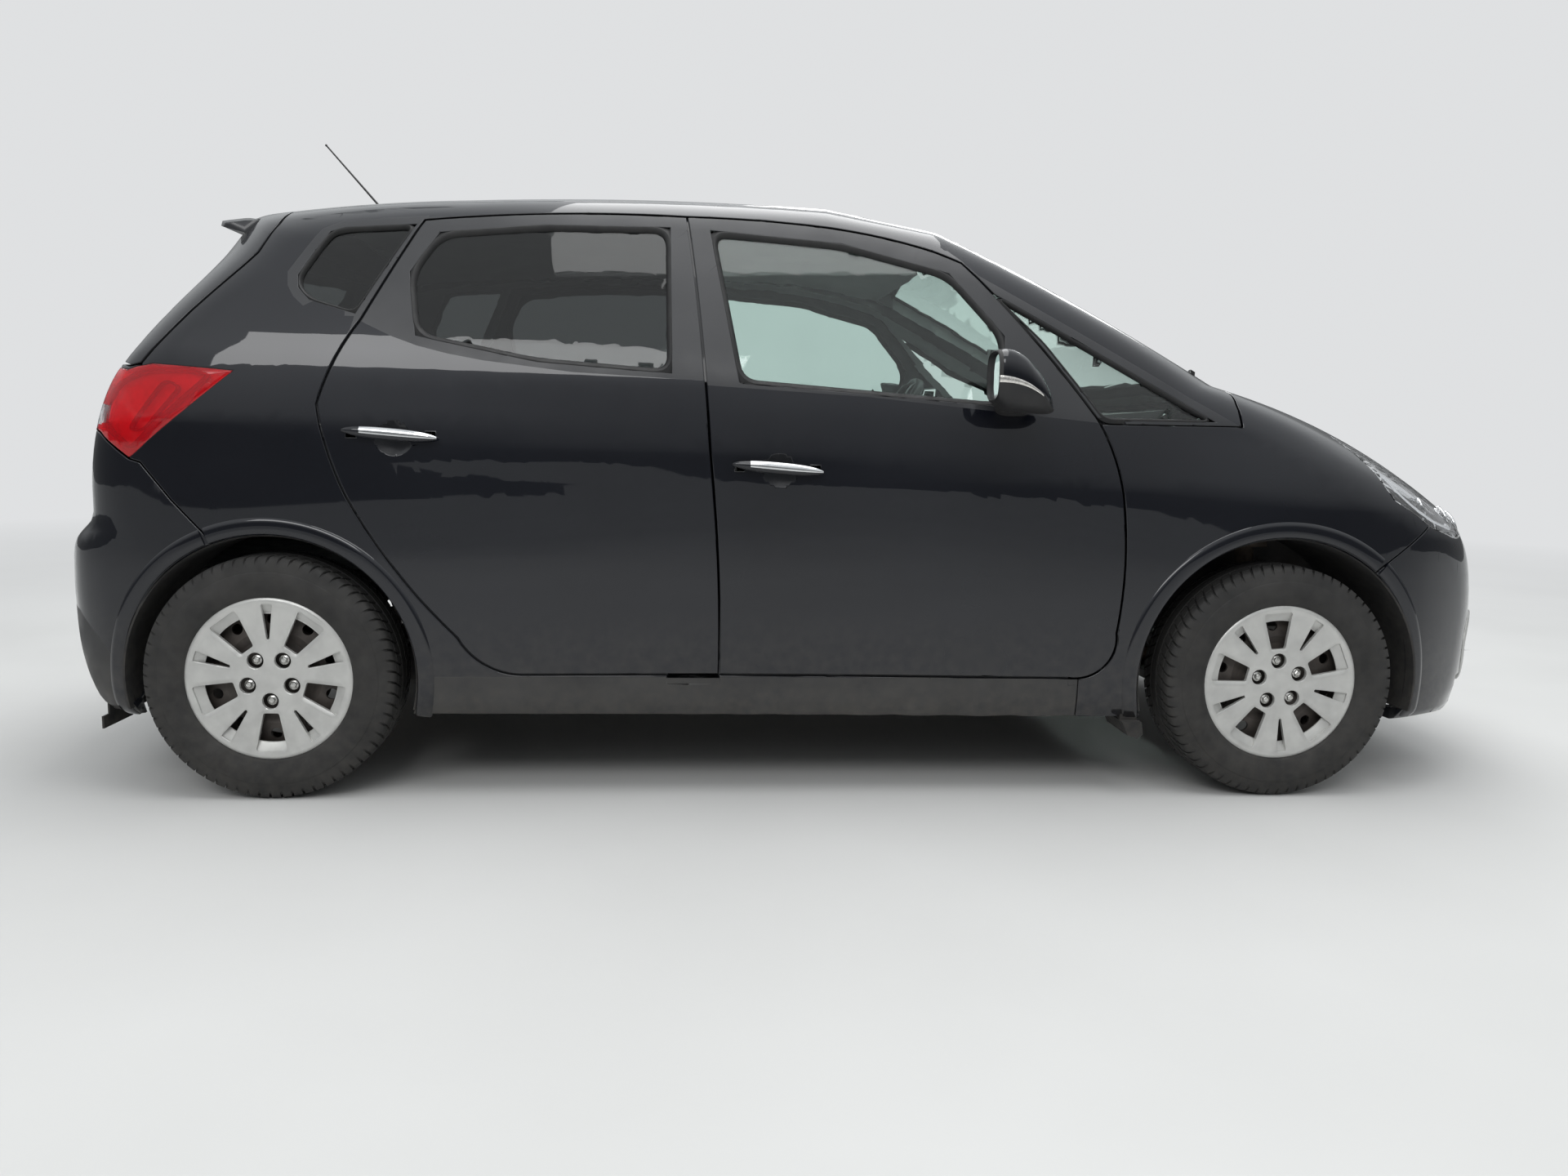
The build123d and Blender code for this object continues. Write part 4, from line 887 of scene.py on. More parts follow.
def lamp_works(side):
    """Three reflectors under the lens, each with its bulb and a rim, set below the body form."""
    made = []
    for x, y, under, radius, depth in lamp_bowls:
        p = np.array([[x, y, 0.75]])
        for i in range(24):
            p[:, 2] -= height_over(p) + under
        aim = unit(slope_of(p)[0] + [0.55, -0.1, -0.15]) * [1, side, 1]
        place = p[0] * [1, side, 1]
        made.append(bowl(place, aim, radius, depth))
        made.append(turned(place - aim * depth * 0.9, aim, [
            (0, 0.004), (0.007, 0.005), (0.010, 0.0055), (0.013, 0.004), (0.0145, 0.001)], 16))
        made.append(turned(place - aim * 0.002, aim, [
            (0, radius), (0.003, radius + 0.001), (0.004, radius + 0.003), (0.002, radius + 0.004),
            (-0.002, radius + 0.004)], 40))
    return joined("works", made)


place_piece("headlamp_works", both_sides(lamp_works), "body", [bright])

# Along the headlamp's lower edge, under the lens, lies a chromed strip, and above its rear half a
# fluted reflector: a row of half-round flutes side by side.
lamp_strip = [(1.450, 0.918), (1.532, 0.818), (1.585, 0.777), (1.650, 0.742), (1.752, 0.714)]
strip_section = [(-0.006, -0.012), (-0.005, -0.0060), (0, -0.0042), (0.005, -0.0060), (0.006, -0.012)]
flute_line = [(1.470, 0.905), (1.545, 0.845), (1.640, 0.800)]
flute_rows, flute_wide, flute_deep = 6, 0.0085, 0.0030


def lamp_strips(side):
    """The strip, and flutes whose height over the tray goes as the half circle across each row."""
    path, out = on_side(evenly(rounded(lamp_strip, 0.03), 0.012), side)
    strip = carried("strip", path, out, strip_section)
    across = np.linspace(-flute_rows / 2, flute_rows / 2, flute_rows * 8 + 1)
    rise = np.sqrt(np.maximum(1 - (2 * (across % 1) - 1) ** 2, 0))
    section = [(u * flute_wide, v) for u, v in zip(across, -0.0105 + flute_deep * rise)]
    section += [(section[-1][0], -0.016), (section[0][0], -0.016)]
    path, out = on_side(evenly(rounded(flute_line, 0.02), 0.012), side)
    return turn_out(joined("strips", [strip, carried("flutes", path, out, section)]), 60)


place_piece("headlamp_strips", both_sides(lamp_strips), "body", [bright])

# Wheels: winter tyres with blocks and shoulder lugs, painted steel wheels, and silver plastic covers
# clipped over them. The covers are moulded, with five windows, five slots and five nut wells.
tyre_rubber = finish(
    "tyre_rubber", ((0.016, 0.016, 0.016), (0.028, 0.027, 0.026)), (0.72, 0.88), patch=11.0, grain=260.0,
    depth=0.0002, dust=(0.0, 0.75, 0.35))
cover_silver = finish(
    "cover_silver", ((0.50, 0.50, 0.485), (0.57, 0.57, 0.55)), (0.30, 0.42), patch=16.0, grain=1500.0,
    depth=0.00003, dust=(0.10, 0.80, 0.16), Metallic=0.35, Coat_Weight=0.15)
wheel_paint = finish(
    "wheel_paint", ((0.050, 0.043, 0.039), (0.085, 0.072, 0.064)), (0.45, 0.65), patch=22.0, grain=500.0,
    depth=0.0001, dust=(0.0, 0.9, 0.35), Metallic=0.3)
nut_steel = finish(
    "nut_steel", ((0.62, 0.62, 0.60), (0.45, 0.44, 0.42)), (0.18, 0.35), patch=120.0, grain=900.0, depth=0.00005,
    Metallic=1.0)
wheels = [  # name, axle x, distance out to the wheel's middle, side, angle that it stands turned to
    ("front_left", 1.210, 0.7705, 1, 23.0), ("front_right", 1.210, 0.7705, -1, 23.0),
    ("rear_left", -1.405, 0.7725, 1, -18.0), ("rear_right", -1.405, 0.7725, -1, -18.0)]


def at_wheel(x, out, side, turn, grid):
    """Points given as (radius, angle, distance outwards), in metres and radians, set on an axle."""
    r, angle, w = grid[..., 0], grid[..., 1] + np.radians(turn), grid[..., 2]
    return np.stack([x + r * np.cos(angle), side * (out + w), axle_z + r * np.sin(angle)], -1)


pitches = 68
wall_line = [  # distance out, radius of the sidewall from the bead to the shoulder, in mm
    (66.0, 190.9), (75.7, 190.9), (83, 203), (90, 210), (93, 214), (94.0, 222), (96.5, 226), (98, 243),
    (97.6, 258), (96.2, 268), (95.6, 270), (94.6, 271), (92.8, 284), (90.5, 291)]
tread_line = [  # distance out, depth that the tread is cut there all round, in mm
    (88.6, 0), (86, 0), (82, 0), (75, 0), (66, 0), (60, 0), (59, 7), (54, 7), (53, 0), (44, 0), (34, 0),
    (24, 0), (22, 0), (21, 7), (16, 7), (15, 0), (8, 0), (0, 0)]
crown = np.array([(0, 312), (68, 310), (78, 308.2), (82, 306.5), (86, 302), (88.6, 297), (91, 290)])


def tyre(x, out, side, turn):
    """A tyre as a grid: its section (across, radius) runs from bead to bead and back inside, and goes
    round in pitches of a block and a cross groove, each row sheared backwards towards the shoulder."""
    tread = np.array(tread_line, dtype=float)
    wall = np.array(wall_line)
    half_w = np.concatenate([wall[:, 0], tread[:, 0]])
    half_r = np.concatenate([wall[:, 1], np.interp(tread[:, 0], crown[:, 0], crown[:, 1])])
    half_cut = np.concatenate([np.zeros(len(wall)), tread[:, 1]])
    half_cross = np.concatenate([
        np.zeros(len(wall) - 1), [1.6], np.where(tread[:, 0] > 86, 4.5, 6.5) * (tread[:, 0] > 23)])
    inner = np.array([(70, 242), (52, 286), (0, 300), (-52, 286), (-70, 242)], dtype=float)
    w = np.concatenate([half_w, -half_w[-2::-1], inner[::-1, 0]])
    r = np.concatenate([half_r, half_r[-2::-1], inner[::-1, 1]])
    cut = np.concatenate([half_cut, half_cut[-2::-1], np.zeros(5)])
    cross = np.concatenate([half_cross, half_cross[-2::-1], np.zeros(5)])
    steps = np.array([0.0, 0.76, 0.79, 0.97])
    grooved = np.tile([0, 0, 1, 1], pitches)
    phase = ((np.arange(pitches)[:, None] + steps[None]) / pitches * 2 * np.pi).ravel()
    shear = np.clip(np.abs(w), 0, 88) / 312 * 0.42
    radius = r[None] - np.maximum(cut[None], cross[None] * grooved[:, None])
    offset = np.where(w < 0, 0.5 / pitches * 2 * np.pi, 0) * (np.abs(w) > 23)
    angle = phase[:, None] - side * (shear + offset)[None] * (half_cross.max() > 0)
    grid = np.stack([radius / 1000, angle, np.broadcast_to(w / 1000, radius.shape)], -1)
    mesh = grid_mesh("tyre", at_wheel(x, out, side, turn, grid), True, True)
    return turn_out(mesh, 34)


def beyond(p, polygon, soft):
    """Distance of points outside a polygon whose corners are rounded: the least distance to its sides,
    negative inside, less the rounding."""
    a = np.array(polygon, dtype=float)
    b = np.roll(a, -1, 0)
    d = np.full(len(p), 1e9)
    inside = np.zeros(len(p), dtype=int)
    for p0, p1 in zip(a, b):
        run = p1 - p0
        t = np.clip((p - p0) @ run / (run @ run), 0, 1)
        d = np.minimum(d, np.linalg.norm(p - p0 - t[:, None] * run, axis=1))
        crossing = (p0[1] > p[:, 1]) != (p1[1] > p[:, 1])
        inside += crossing & (p[:, 0] < p0[0] + (p[:, 1] - p0[1]) / (run[1] or 1e-9) * run[0])
    return np.where(inside % 2 == 1, -d, d) - soft


window = [(-14.5, 94.5), (14.5, 94.5), (32.5, 180.5), (-32.5, 180.5)]
slot = [(-1.0, 102), (1.0, 102), (11.2, 186.5), (-11.2, 186.5)]
lug_circle, well_radius = 57.15, 20.5


def cover_gaps(p):
    """Distances in mm from each point of the cover's plane to its windows, slots and wells."""
    out = []
    for i in range(5):
        for shape, at in (("window", 72 * i), ("slot", 72 * i + 36), ("well", 72 * i)):
            c, s = np.cos(np.radians(at)), np.sin(np.radians(at))
            local = np.stack([p[:, 0] * s - p[:, 1] * c, p[:, 0] * c + p[:, 1] * s], 1)
            if shape == "well":
                d = np.linalg.norm(local - [0, lug_circle], axis=1) - well_radius
            else:
                d = beyond(local, window if shape == "window" else slot, 5.5 if shape == "window" else 2.5)
            out.append(d)
    out = np.array(out).reshape(5, 3, -1)
    return out.min(0)


def cover_height(p):
    """How far out the cover stands in mm: a shallow dish with a rolled rim, sloped down along the
    windows, slots and wells, with a round cap in the middle."""
    r = np.linalg.norm(p, axis=1)
    window_gap, slot_gap, well_gap = cover_gaps(p)
    h = 83.6 + 5.0 * (r / 200) ** 1.6 + 0.7 * np.clip((r - 188) / 3, 0, 1)
    h -= 4.2 * np.clip(np.clip((r - 198) / 8, 0, 1), 0, 1) ** 2.2
    away = np.clip(1 - np.maximum(window_gap, 0) / 10.5, 0, 1)
    h -= 3.6 * away ** 1.3 * np.clip((188 - r) / 12, 0.25, 1) * np.clip((r - 60) / 25, 0, 1)
    h -= 1.3 * np.clip(1 - np.maximum(slot_gap, 0) / 3.0, 0, 1) ** 1.5
    h -= 1.5 * np.clip(1 - np.maximum(well_gap, 0) / 2.5, 0, 1) ** 1.8
    h -= 0.9 * np.exp(-((r - 30.5) / 1.1) ** 2)
    return h + 0.8 * np.clip((30 - r) / 6, 0, 1)


def wheel_cover(x, out, side, turn, rows, cols):
    """A cover: a grid of radius and angle over the disc, its cells inside the openings dropped, the
    openings' edges moved onto their outlines, and a wall carried in from every edge."""
    r = np.linspace(2.0, 206.0, rows)[:, None]
    angle = np.linspace(0, 2 * np.pi, cols, endpoint=False)[None]
    p = np.stack([r * np.cos(angle), r * np.sin(angle)], -1).reshape(-1, 2)
    ids = np.arange(rows * cols).reshape(rows, cols)
    cells = np.stack([ids[:-1], ids[1:], np.roll(ids[1:], -1, 1), np.roll(ids[:-1], -1, 1)], -1)
    cells = cells.reshape(-1, 4)
    gap = cover_gaps(p).min(0)
    cells = cells[gap[cells].mean(1) > 0]
    edges = np.sort(np.stack([cells, np.roll(cells, -1, 1)], -1).reshape(-1, 2), 1)
    edges, counts = np.unique(edges, axis=0, return_counts=True)
    rim = edges[counts == 1]
    ring = np.unique(rim)
    inner = ring[(ring >= cols) & (ring < (rows - 1) * cols)]
    for i in range(4):
        q = p[inner]
        d = cover_gaps(q).min(0)
        slope = np.stack([cover_gaps(q + e).min(0) - d for e in ((0.2, 0), (0, 0.2))], 1)
        p[inner] = q - d[:, None] * unit(slope)
    h = cover_height(p)
    wall = np.where(np.linalg.norm(p, axis=1) > 200, 3.0, 11.0)
    used, rim = np.unique(ring), rim[rim.min(1) >= cols]
    lower = np.full(len(p), -1)
    lower[used] = len(p) + np.arange(len(used))
    deep = h[used] - wall[used]
    points = np.concatenate([np.column_stack([p, h]), np.column_stack([p[used], deep])])
    faces = cells.tolist() + [[a, b, lower[b], lower[a]] for a, b in rim.tolist()]
    faces.append(ids[0].tolist())
    flat = np.hypot(points[:, 0], points[:, 1])
    polar_points = np.stack([flat, np.arctan2(points[:, 1], points[:, 0]), points[:, 2]], -1)
    polar_points[:, [0, 2]] /= 1000
    mesh = bpy.data.meshes.new("cover")
    mesh.from_pydata(at_wheel(x, out, side, turn, polar_points).tolist(), [], faces)
    mesh.polygons.foreach_set("use_smooth", np.ones(len(faces), dtype=bool))
    shelf = np.array([(189, 81.5), (187, 81.0), (166, 71.0), (164, 71.5), (164, 69.5), (189, 79.0)]) / 1000
    round_angle = np.linspace(0, 2 * np.pi, 120, endpoint=False)
    grid = np.stack(np.broadcast_arrays(shelf[None, :, 0], round_angle[:, None], shelf[None, :, 1]), -1)
    back = grid_mesh("shelf", at_wheel(x, out, side, turn, grid), True, True)
    mesh = joined("cover", [mesh, back])
    return turn_out(mesh, 32)


def lug_nuts(x, out, side, turn):
    """Five domed hexagon nuts: the radius swells between flats with the angle, and closes in a dome."""
    made = []
    for i in range(5):
        at = np.radians(72 * i)
        along = np.array([66, 66, 78, 80, 84, 86, 86.5]) - 8
        size = np.array([0.1, 12.5, 12.5, 9.2, 8.6, 6.0, 0.1])
        spin = np.linspace(0, 2 * np.pi, 24, endpoint=False)
        hexed = np.cos(np.pi / 6) / np.cos((spin % (np.pi / 3)) - np.pi / 6)
        swell = np.where((along > 71)[:, None], hexed[None], 1.0)
        u = size[:, None] * swell * np.cos(spin)
        v = size[:, None] * swell * np.sin(spin) + lug_circle
        px, pz = u * np.sin(at) + v * np.cos(at), -u * np.cos(at) + v * np.sin(at)
        grid = np.stack([
            np.hypot(px, pz) / 1000, np.arctan2(pz, px), np.broadcast_to(along[:, None], px.shape) / 1000], -1)
        made.append(grid_mesh("nut", at_wheel(x, out, side, turn, grid), False, True, True))
    return turn_out(joined("nuts", made), 25)


rows, cols = ((46, 290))
for name, x, out, side, turn in wheels:
    body = "wheel_" + name
    place_piece("tyre_%s_tread" % name, tyre(x, out, side, turn), body, [tyre_rubber], ["tyre_" + name])
    place_piece(
        "cover_" + name, wheel_cover(x, out, side, turn, rows, cols), body, [cover_silver],
        ["wheel_cover_" + name])
    place_piece("lug_nuts_" + name, lug_nuts(x, out, side, turn), body, [nut_steel])


def dress(node, material):
    """A CAD node kept as it is, with a finish of its own."""
    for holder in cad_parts[node].material_slots:
        holder.material = material


for name, x, out, side, turn in wheels:
    dress("wheel_" + name, wheel_paint)

# Door handles: a tapered pull bar over a round cup pressed into the door, painted black, with a chromed
# strip clipped on its upper half and a separate black cap at the rear end.
chrome = finish(
    "chrome", ((0.80, 0.81, 0.82), (0.72, 0.73, 0.74)), (0.05, 0.14), patch=30.0, grain=400.0, depth=0.00002,
    Metallic=1.0)
handle_half, handle_slant, handle_back = 0.116, -0.073, 0.8715


def handle_form(x, z, side, s, phi, proud=0.0):
    """A spindle: its half height falls off to both ends as (1 - s^2.6)^0.55, and it is flat behind and
    crowned outside by the sine of the angle round it."""
    tall = 0.0150 * (1 - np.abs(s) ** 2.6) ** 0.55
    bulge = 0.0125 * np.sqrt(np.maximum(1 - s ** 4, 0))
    swell = np.sin(phi)
    out = handle_back + np.where(swell > 0, bulge * np.abs(swell) ** 0.8, 0.003 * swell) + proud
    px = x + handle_half * s
    return np.stack([px, side * out, z + handle_slant * (px - x) + (tall + proud) * np.cos(phi)], -1)


def handle_bar(x, z, side):
    s = np.sin(np.linspace(-1, 1, 33) * np.pi / 2)[:, None] * 0.999
    phi = np.linspace(0, 2 * np.pi, 32, endpoint=False)[None]
    s, phi = np.broadcast_arrays(s, phi)
    return turn_out(grid_mesh("bar", handle_form(x, z, side, s, phi), False, True, True), 50)


def handle_strip(x, z, side):
    """The bar's own form between two angles, a little proud, with its edges turned in."""
    s = np.linspace(-0.60, 0.985, 36)[:, None]
    phi = np.radians([10, 12, 24, 40, 56, 72, 88, 102, 104])[None]
    proud = np.array([-0.0008, 0.0007, 0.0009, 0.001, 0.001, 0.001, 0.0009, 0.0007, -0.0008])[None]
    grid = handle_form(x, z, side, *np.broadcast_arrays(s, phi, proud))
    back = handle_form(x, z, side, *np.broadcast_arrays(s, phi[:, ::-1], -0.001 + 0 * proud))
    return turn_out(grid_mesh("strip", np.concatenate([grid, back], 1), False, True, True), 50)


handle_at = {"front": (-0.137, 0.858), "rear": (-1.092, 0.926)}
for title, side in (("right", -1), ("left", 1)):
    for row, (x, z) in handle_at.items():
        name = "door_%s_%s" % (row, title)
        place_piece("handle_bar_%s_%s" % (row, title), handle_bar(x, z, side), name, [black_paint])
        place_piece("handle_strip_%s_%s" % (row, title), handle_strip(x, z, side), name, [chrome])

# Door mirrors: a moulded shell with a painted cap above, a curved turn lamp along the split, a grained
# lower half, and a glass set into its rear rim. A foot carries it from the sail plate.
mirror_glass = finish(
    "mirror_glass", ((0.82, 0.84, 0.85), (0.80, 0.82, 0.84)), (0.01, 0.03), patch=8.0, grain=60.0, depth=0.00002,
    Metallic=1.0)
turn_lamp = finish(
    "turn_lamp", ((0.86, 0.84, 0.80), (0.62, 0.60, 0.57)), (0.12, 0.30), patch=160.0, grain=420.0, depth=0.0006,
    stretch=(1, 1, 0.2), Metallic=0.85, Coat_Weight=1.0, Coat_Roughness=0.03)


def soft_line(at, xs, ys, width=0.018):
    """A line of straight runs with its corners eased by a running mean of that width."""
    fine = np.arange(xs[0] - width, xs[-1] + width, 0.001)
    count = int(width / 0.001) | 1
    flat = np.convolve(np.pad(np.interp(fine, xs, ys), count // 2, "edge"), np.ones(count) / count, "valid")
    return np.interp(at, fine, flat)


def mirror_section(x):
    """Centre, half sizes and squareness of the shell's superellipse at each x."""
    top = soft_line(
        x, [0.384, 0.403, 0.430, 0.459, 0.500, 0.527, 0.548], [1.154, 1.162, 1.158, 1.143, 1.102, 1.066, 1.020])
    low = soft_line(x, [0.384, 0.395, 0.412, 0.470, 0.520, 0.548], [1.034, 1.022, 1.012, 1.006, 1.003, 1.006])
    out = soft_line(x, [0.384, 0.400, 0.459, 0.500, 0.527, 0.548], [1.002, 1.005, 1.000, 0.984, 0.960, 0.915])
    near = soft_line(x, [0.384, 0.430, 0.500, 0.548], [0.872, 0.866, 0.866, 0.880])
    square = np.interp(x, [0.384, 0.548], [3.4, 2.3])
    return (out + near) / 2, (top + low) / 2, (out - near) / 2, (top - low) / 2, square


def split_height(x):
    return 1.084 - 0.034 * np.clip((x - 0.384) / 0.112, 0, 1.35) ** 2.2


def mirror_shell(side):
    """Superellipses whose size changes along the car: |y/a|^n + |z/b|^n = 1, the angle round each one
    shared out so that a row of points lies along the split."""
    x = np.concatenate([
        [0.397, 0.389, 0.3855, 0.384, 0.3845, 0.387, 0.391, 0.3935, 0.396], np.linspace(0.401, 0.548, 26)])
    scale = np.concatenate([[0.86, 0.88, 0.915, 0.95, 0.975, 0.992, 1.0, 0.992, 1.0], np.ones(26)])
    scale[-3:] = [0.97, 0.86, 0.55]
    yc, zc, a, b, n = [v[:, None] for v in mirror_section(x)]
    q = np.clip((split_height(x)[:, None] - zc) / b, -0.97, 0.97)
    start = np.arcsin(np.sign(q) * np.abs(q) ** (n / 2))
    shares = [np.concatenate([[0, 0.012], np.linspace(0.05, 0.95, n), [0.988]])[None] for n in (24, 22)]
    upper = start + (np.pi - 2 * start) * shares[0]
    lower = np.pi - start + (np.pi + 2 * start) * shares[1]
    t = np.concatenate([upper, lower], 1)
    seam = np.ones(t.shape[1])
    seam[[0, upper.shape[1]]] = 0.988
    k = scale[:, None] * seam[None]
    power = 2 / n
    y = yc + a * k * np.sign(np.cos(t)) * np.abs(np.cos(t)) ** power
    z = zc + b * k * np.sign(np.sin(t)) * np.abs(np.sin(t)) ** power
    grid = np.stack([np.broadcast_to(x[:, None], y.shape), side * y, z], -1)
    mesh = turn_out(grid_mesh("shell", grid, False, True, True), 42)
    at = read_flat(mesh.polygons, "center", 3)
    cap = (at[:, 2] > split_height(at[:, 0])) & (at[:, 0] > 0.3945)
    mesh.polygons.foreach_set("material_index", np.where(cap, 0, 1))
    return mesh


def mirror_lamp(side):
    """A strip along the split that narrows forwards, lying on the shell's outer side."""
    x = np.linspace(0.3852, 0.500, 40)[:, None]
    high = (0.0085 - 0.0060 * ((x - 0.385) / 0.115) ** 1.5)
    v = np.array([-1, -0.94, -0.6, 0, 0.6, 0.94, 1, 0.5, -0.5])[None]
    proud = np.array([-0.001, 0.0010, 0.0017, 0.0020, 0.0017, 0.0010, -0.001, -0.003, -0.003])[None]
    z = split_height(x) + high * v
    yc, zc, a, b, n = mirror_section(x[:, 0])
    inside = np.clip(np.abs((z - zc[:, None]) / b[:, None]), 0, 1)
    y = yc[:, None] + a[:, None] * (1 - inside ** n[:, None]) ** (1 / n[:, None]) + proud
    grid = np.stack([np.broadcast_to(x, y.shape), side * y, z], -1)
    return turn_out(grid_mesh("lamp", grid, False, True, True), 40)


def mirror_pane(side):
    yc, zc, a, b, n = [v[0] for v in mirror_section(np.array([0.397]))]
    t = np.linspace(0, 2 * np.pi, 64, endpoint=False)[None]
    k = np.array([0.02, 0.4, 0.8, 0.838, 0.850, 0.850])[:, None]
    x = np.array([0.3925, 0.3926, 0.3932, 0.3935, 0.3945, 0.3980])[:, None] + 0 * t
    y = yc + a * k * np.sign(np.cos(t)) * np.abs(np.cos(t)) ** (2 / n)
    z = zc + b * k * np.sign(np.sin(t)) * np.abs(np.sin(t)) ** (2 / n)
    return turn_out(grid_mesh("glass", np.stack([x, side * y, z], -1), False, True, True), 40)


def mirror_foot(side):
    """A foot that widens towards the door: superellipses along y."""
    y = np.linspace(0.800, 0.905, 14)[:, None]
    s = ((y - 0.800) / 0.105)
    xc, a = 0.462 + 0.010 * s, 0.052 - 0.014 * s
    zc, b = 1.020 + 0.006 * s, 0.024 - 0.004 * s
    t = np.linspace(0, 2 * np.pi, 40, endpoint=False)[None]
    grid = np.stack([
        xc + a * np.sign(np.cos(t)) * np.abs(np.cos(t)) ** 0.7, np.broadcast_to(side * y, (14, 40)),
        zc + b * np.sign(np.sin(t)) * np.abs(np.sin(t)) ** 0.7], -1)
    return turn_out(grid_mesh("foot", grid, False, True, True), 40)


for title, side in (("right", -1), ("left", 1)):
    door, node = "door_front_" + title, "mirror_" + title
    place_piece("mirror_shell_" + title, mirror_shell(side), door, [black_paint, black_plastic], [node])
    place_piece("mirror_lamp_" + title, mirror_lamp(side), door, [turn_lamp])
    place_piece("mirror_glass_" + title, mirror_pane(side), door, [mirror_glass])
    place_piece("mirror_foot_" + title, mirror_foot(side), door, [black_plastic], [node])

# Grille, lower intake, cowl and wipers: black moulded plastic, and pressed steel arms with rubber blades.
# A thin chromed strip runs over the grille, and silver crescents stand beside the fog lamps.
wiper_black = finish(
    "wiper_black", ((0.012, 0.012, 0.013), (0.022, 0.022, 0.022)), (0.35, 0.55), patch=14.0, grain=600.0,
    depth=0.00005)


def eased_piece(node, body, finishes, set_in=0.0):
    """A small outer part moved onto the soft body form."""
    mesh, centres, facings, skin = panel_mesh(node, set_in=set_in)
    mesh.polygons.foreach_set("material_index", np.zeros(len(mesh.polygons), dtype=int))
    return place_piece(node + "_part", mesh, body, finishes, [node])


eased_piece("grille", "body", [black_plastic])
eased_piece("cowl_panel", "body", [black_plastic])
eased_piece("front_wipers", "body", [wiper_black])
eased_piece("rear_wiper", "tailgate", [wiper_black])


def on_end(line, end, height):
    """Points (y, z) carried along the car onto the body form's nose or tail, that far out from it."""
    line = np.array(line, dtype=float)
    p = np.column_stack([np.full(len(line), end * 2.0), line])
    for i in range(24):
        p[:, 0] -= end * (height_over(p) - height)
    return p, slope_of(p)


trim_section = [
    (-0.007, -0.006), (-0.007, 0.0008), (-0.005, 0.0030), (0, 0.0042), (0.005, 0.0030), (0.007, 0.0008),
    (0.007, -0.006)]
line = np.column_stack([np.linspace(-0.423, 0.423, 60), 0.7105 - 0.004 * np.linspace(-1, 1, 60) ** 2])
path, out = on_end(line, 1, -0.001)
place_piece(
    "grille_strip", turn_out(carried("strip", path, out, trim_section), 50), "body", [chrome])

# Over the strip lies the black nose panel that the bonnet shuts down to.
strip_top, nose_top, nose_bow, nose_wide = 0.7125, 0.7475, 0.215, 0.385


def nose_panel():
    """A sheet over the nose from the strip up to z = top - bow * y^2, under the bonnet's edge."""
    y, t = np.meshgrid(np.linspace(-nose_wide, nose_wide, 60), np.linspace(0, 1, 8), indexing="ij")
    z = strip_top + (nose_top - nose_bow * y ** 2 - strip_top) * t
    p, out = on_end(np.column_stack([y.ravel(), z.ravel()]), 1, -0.005)
    front = p.reshape(*y.shape, 3)
    back = (p - out * 0.003).reshape(*y.shape, 3)
    return turn_out(grid_mesh("nose", np.concatenate([front, back[:, ::-1]], 1), False, True, True), 50)


place_piece("nose_panel", nose_panel(), "body", [black_plastic])


def fog_crescent(side):
    """A crescent beside the fog lamp: the strip's width follows the sine along its arc."""
    a = np.radians(np.linspace(-88, 88, 40))
    middle = np.column_stack([side * (0.585 + 0.070 * np.cos(a)), 0.372 + 0.098 * np.sin(a)])
    path, out = on_end(middle, 1, 0.0)
    wide = 0.004 + 0.009 * np.cos(a)
    ahead = unit(np.gradient(path, axis=0))
    across = unit(np.cross(out, ahead))
    section = np.array([(-1, -0.006), (-1, 0.001), (-0.6, 0.004), (0, 0.005), (0.6, 0.004), (1, 0.001), (1, -0.006)])
    grid = (path[:, None] + across[:, None] * (wide[:, None] * section[None, :, 0])[..., None]
            + out[:, None] * section[None, :, 1:])
    return turn_out(grid_mesh("crescent", grid, False, True, True), 50)


place_piece("fog_crescents", both_sides(fog_crescent), "body", [cover_silver])

# Number plates: blank pressed plates, white with the fine grain of reflective sheet, held in black frames.
plate_white = finish(
    "plate_white", ((0.62, 0.63, 0.63), (0.56, 0.57, 0.56)), (0.28, 0.4), patch=12.0, grain=700.0, depth=0.0001,
    Coat_Weight=0.3)
plate_rows = [("plate_rear", -1, "tailgate", 0.825, -0.0030), ("plate_front", 1, "body", 0.545, 0.0035)]


def plate(end, z, height, half_wide=0.260, half_tall=0.055):
    """A sheet over the body form with a pressed border: its height is raised along the edge."""
    u = np.concatenate([[-1, -0.998], np.linspace(-0.985, 0.985, 40), [0.998, 1]])
    v = np.array([-1, -0.99, -0.93, -0.90, -0.5, 0, 0.5, 0.90, 0.93, 0.99, 1])
    uu, vv = np.meshgrid(u, v, indexing="ij")
    away = np.minimum((1 - np.abs(uu)) * half_wide, (1 - np.abs(vv)) * half_tall)
    rise = 0.0012 * np.clip(1 - away / 0.005, 0, 1) - 0.002 * (away < 1e-6)
    line = np.column_stack([(uu * half_wide).ravel(), (z + vv * half_tall).ravel()])
    p, out = on_end(line, end, height)
    front = (p + out * rise.reshape(-1, 1)).reshape(*uu.shape, 3)
    back = (p - out * 0.0025).reshape(*uu.shape, 3)
    sheet, backing = grid_mesh("front", front, False, False), grid_mesh("back", back, False, False)
    for mesh, way in ((sheet, 1), (backing, -1)):
        if np.array(mesh.polygons[0].normal)[0] * end * way < 0:
            mesh.flip_normals()
    return joined("plate", [sheet, backing])


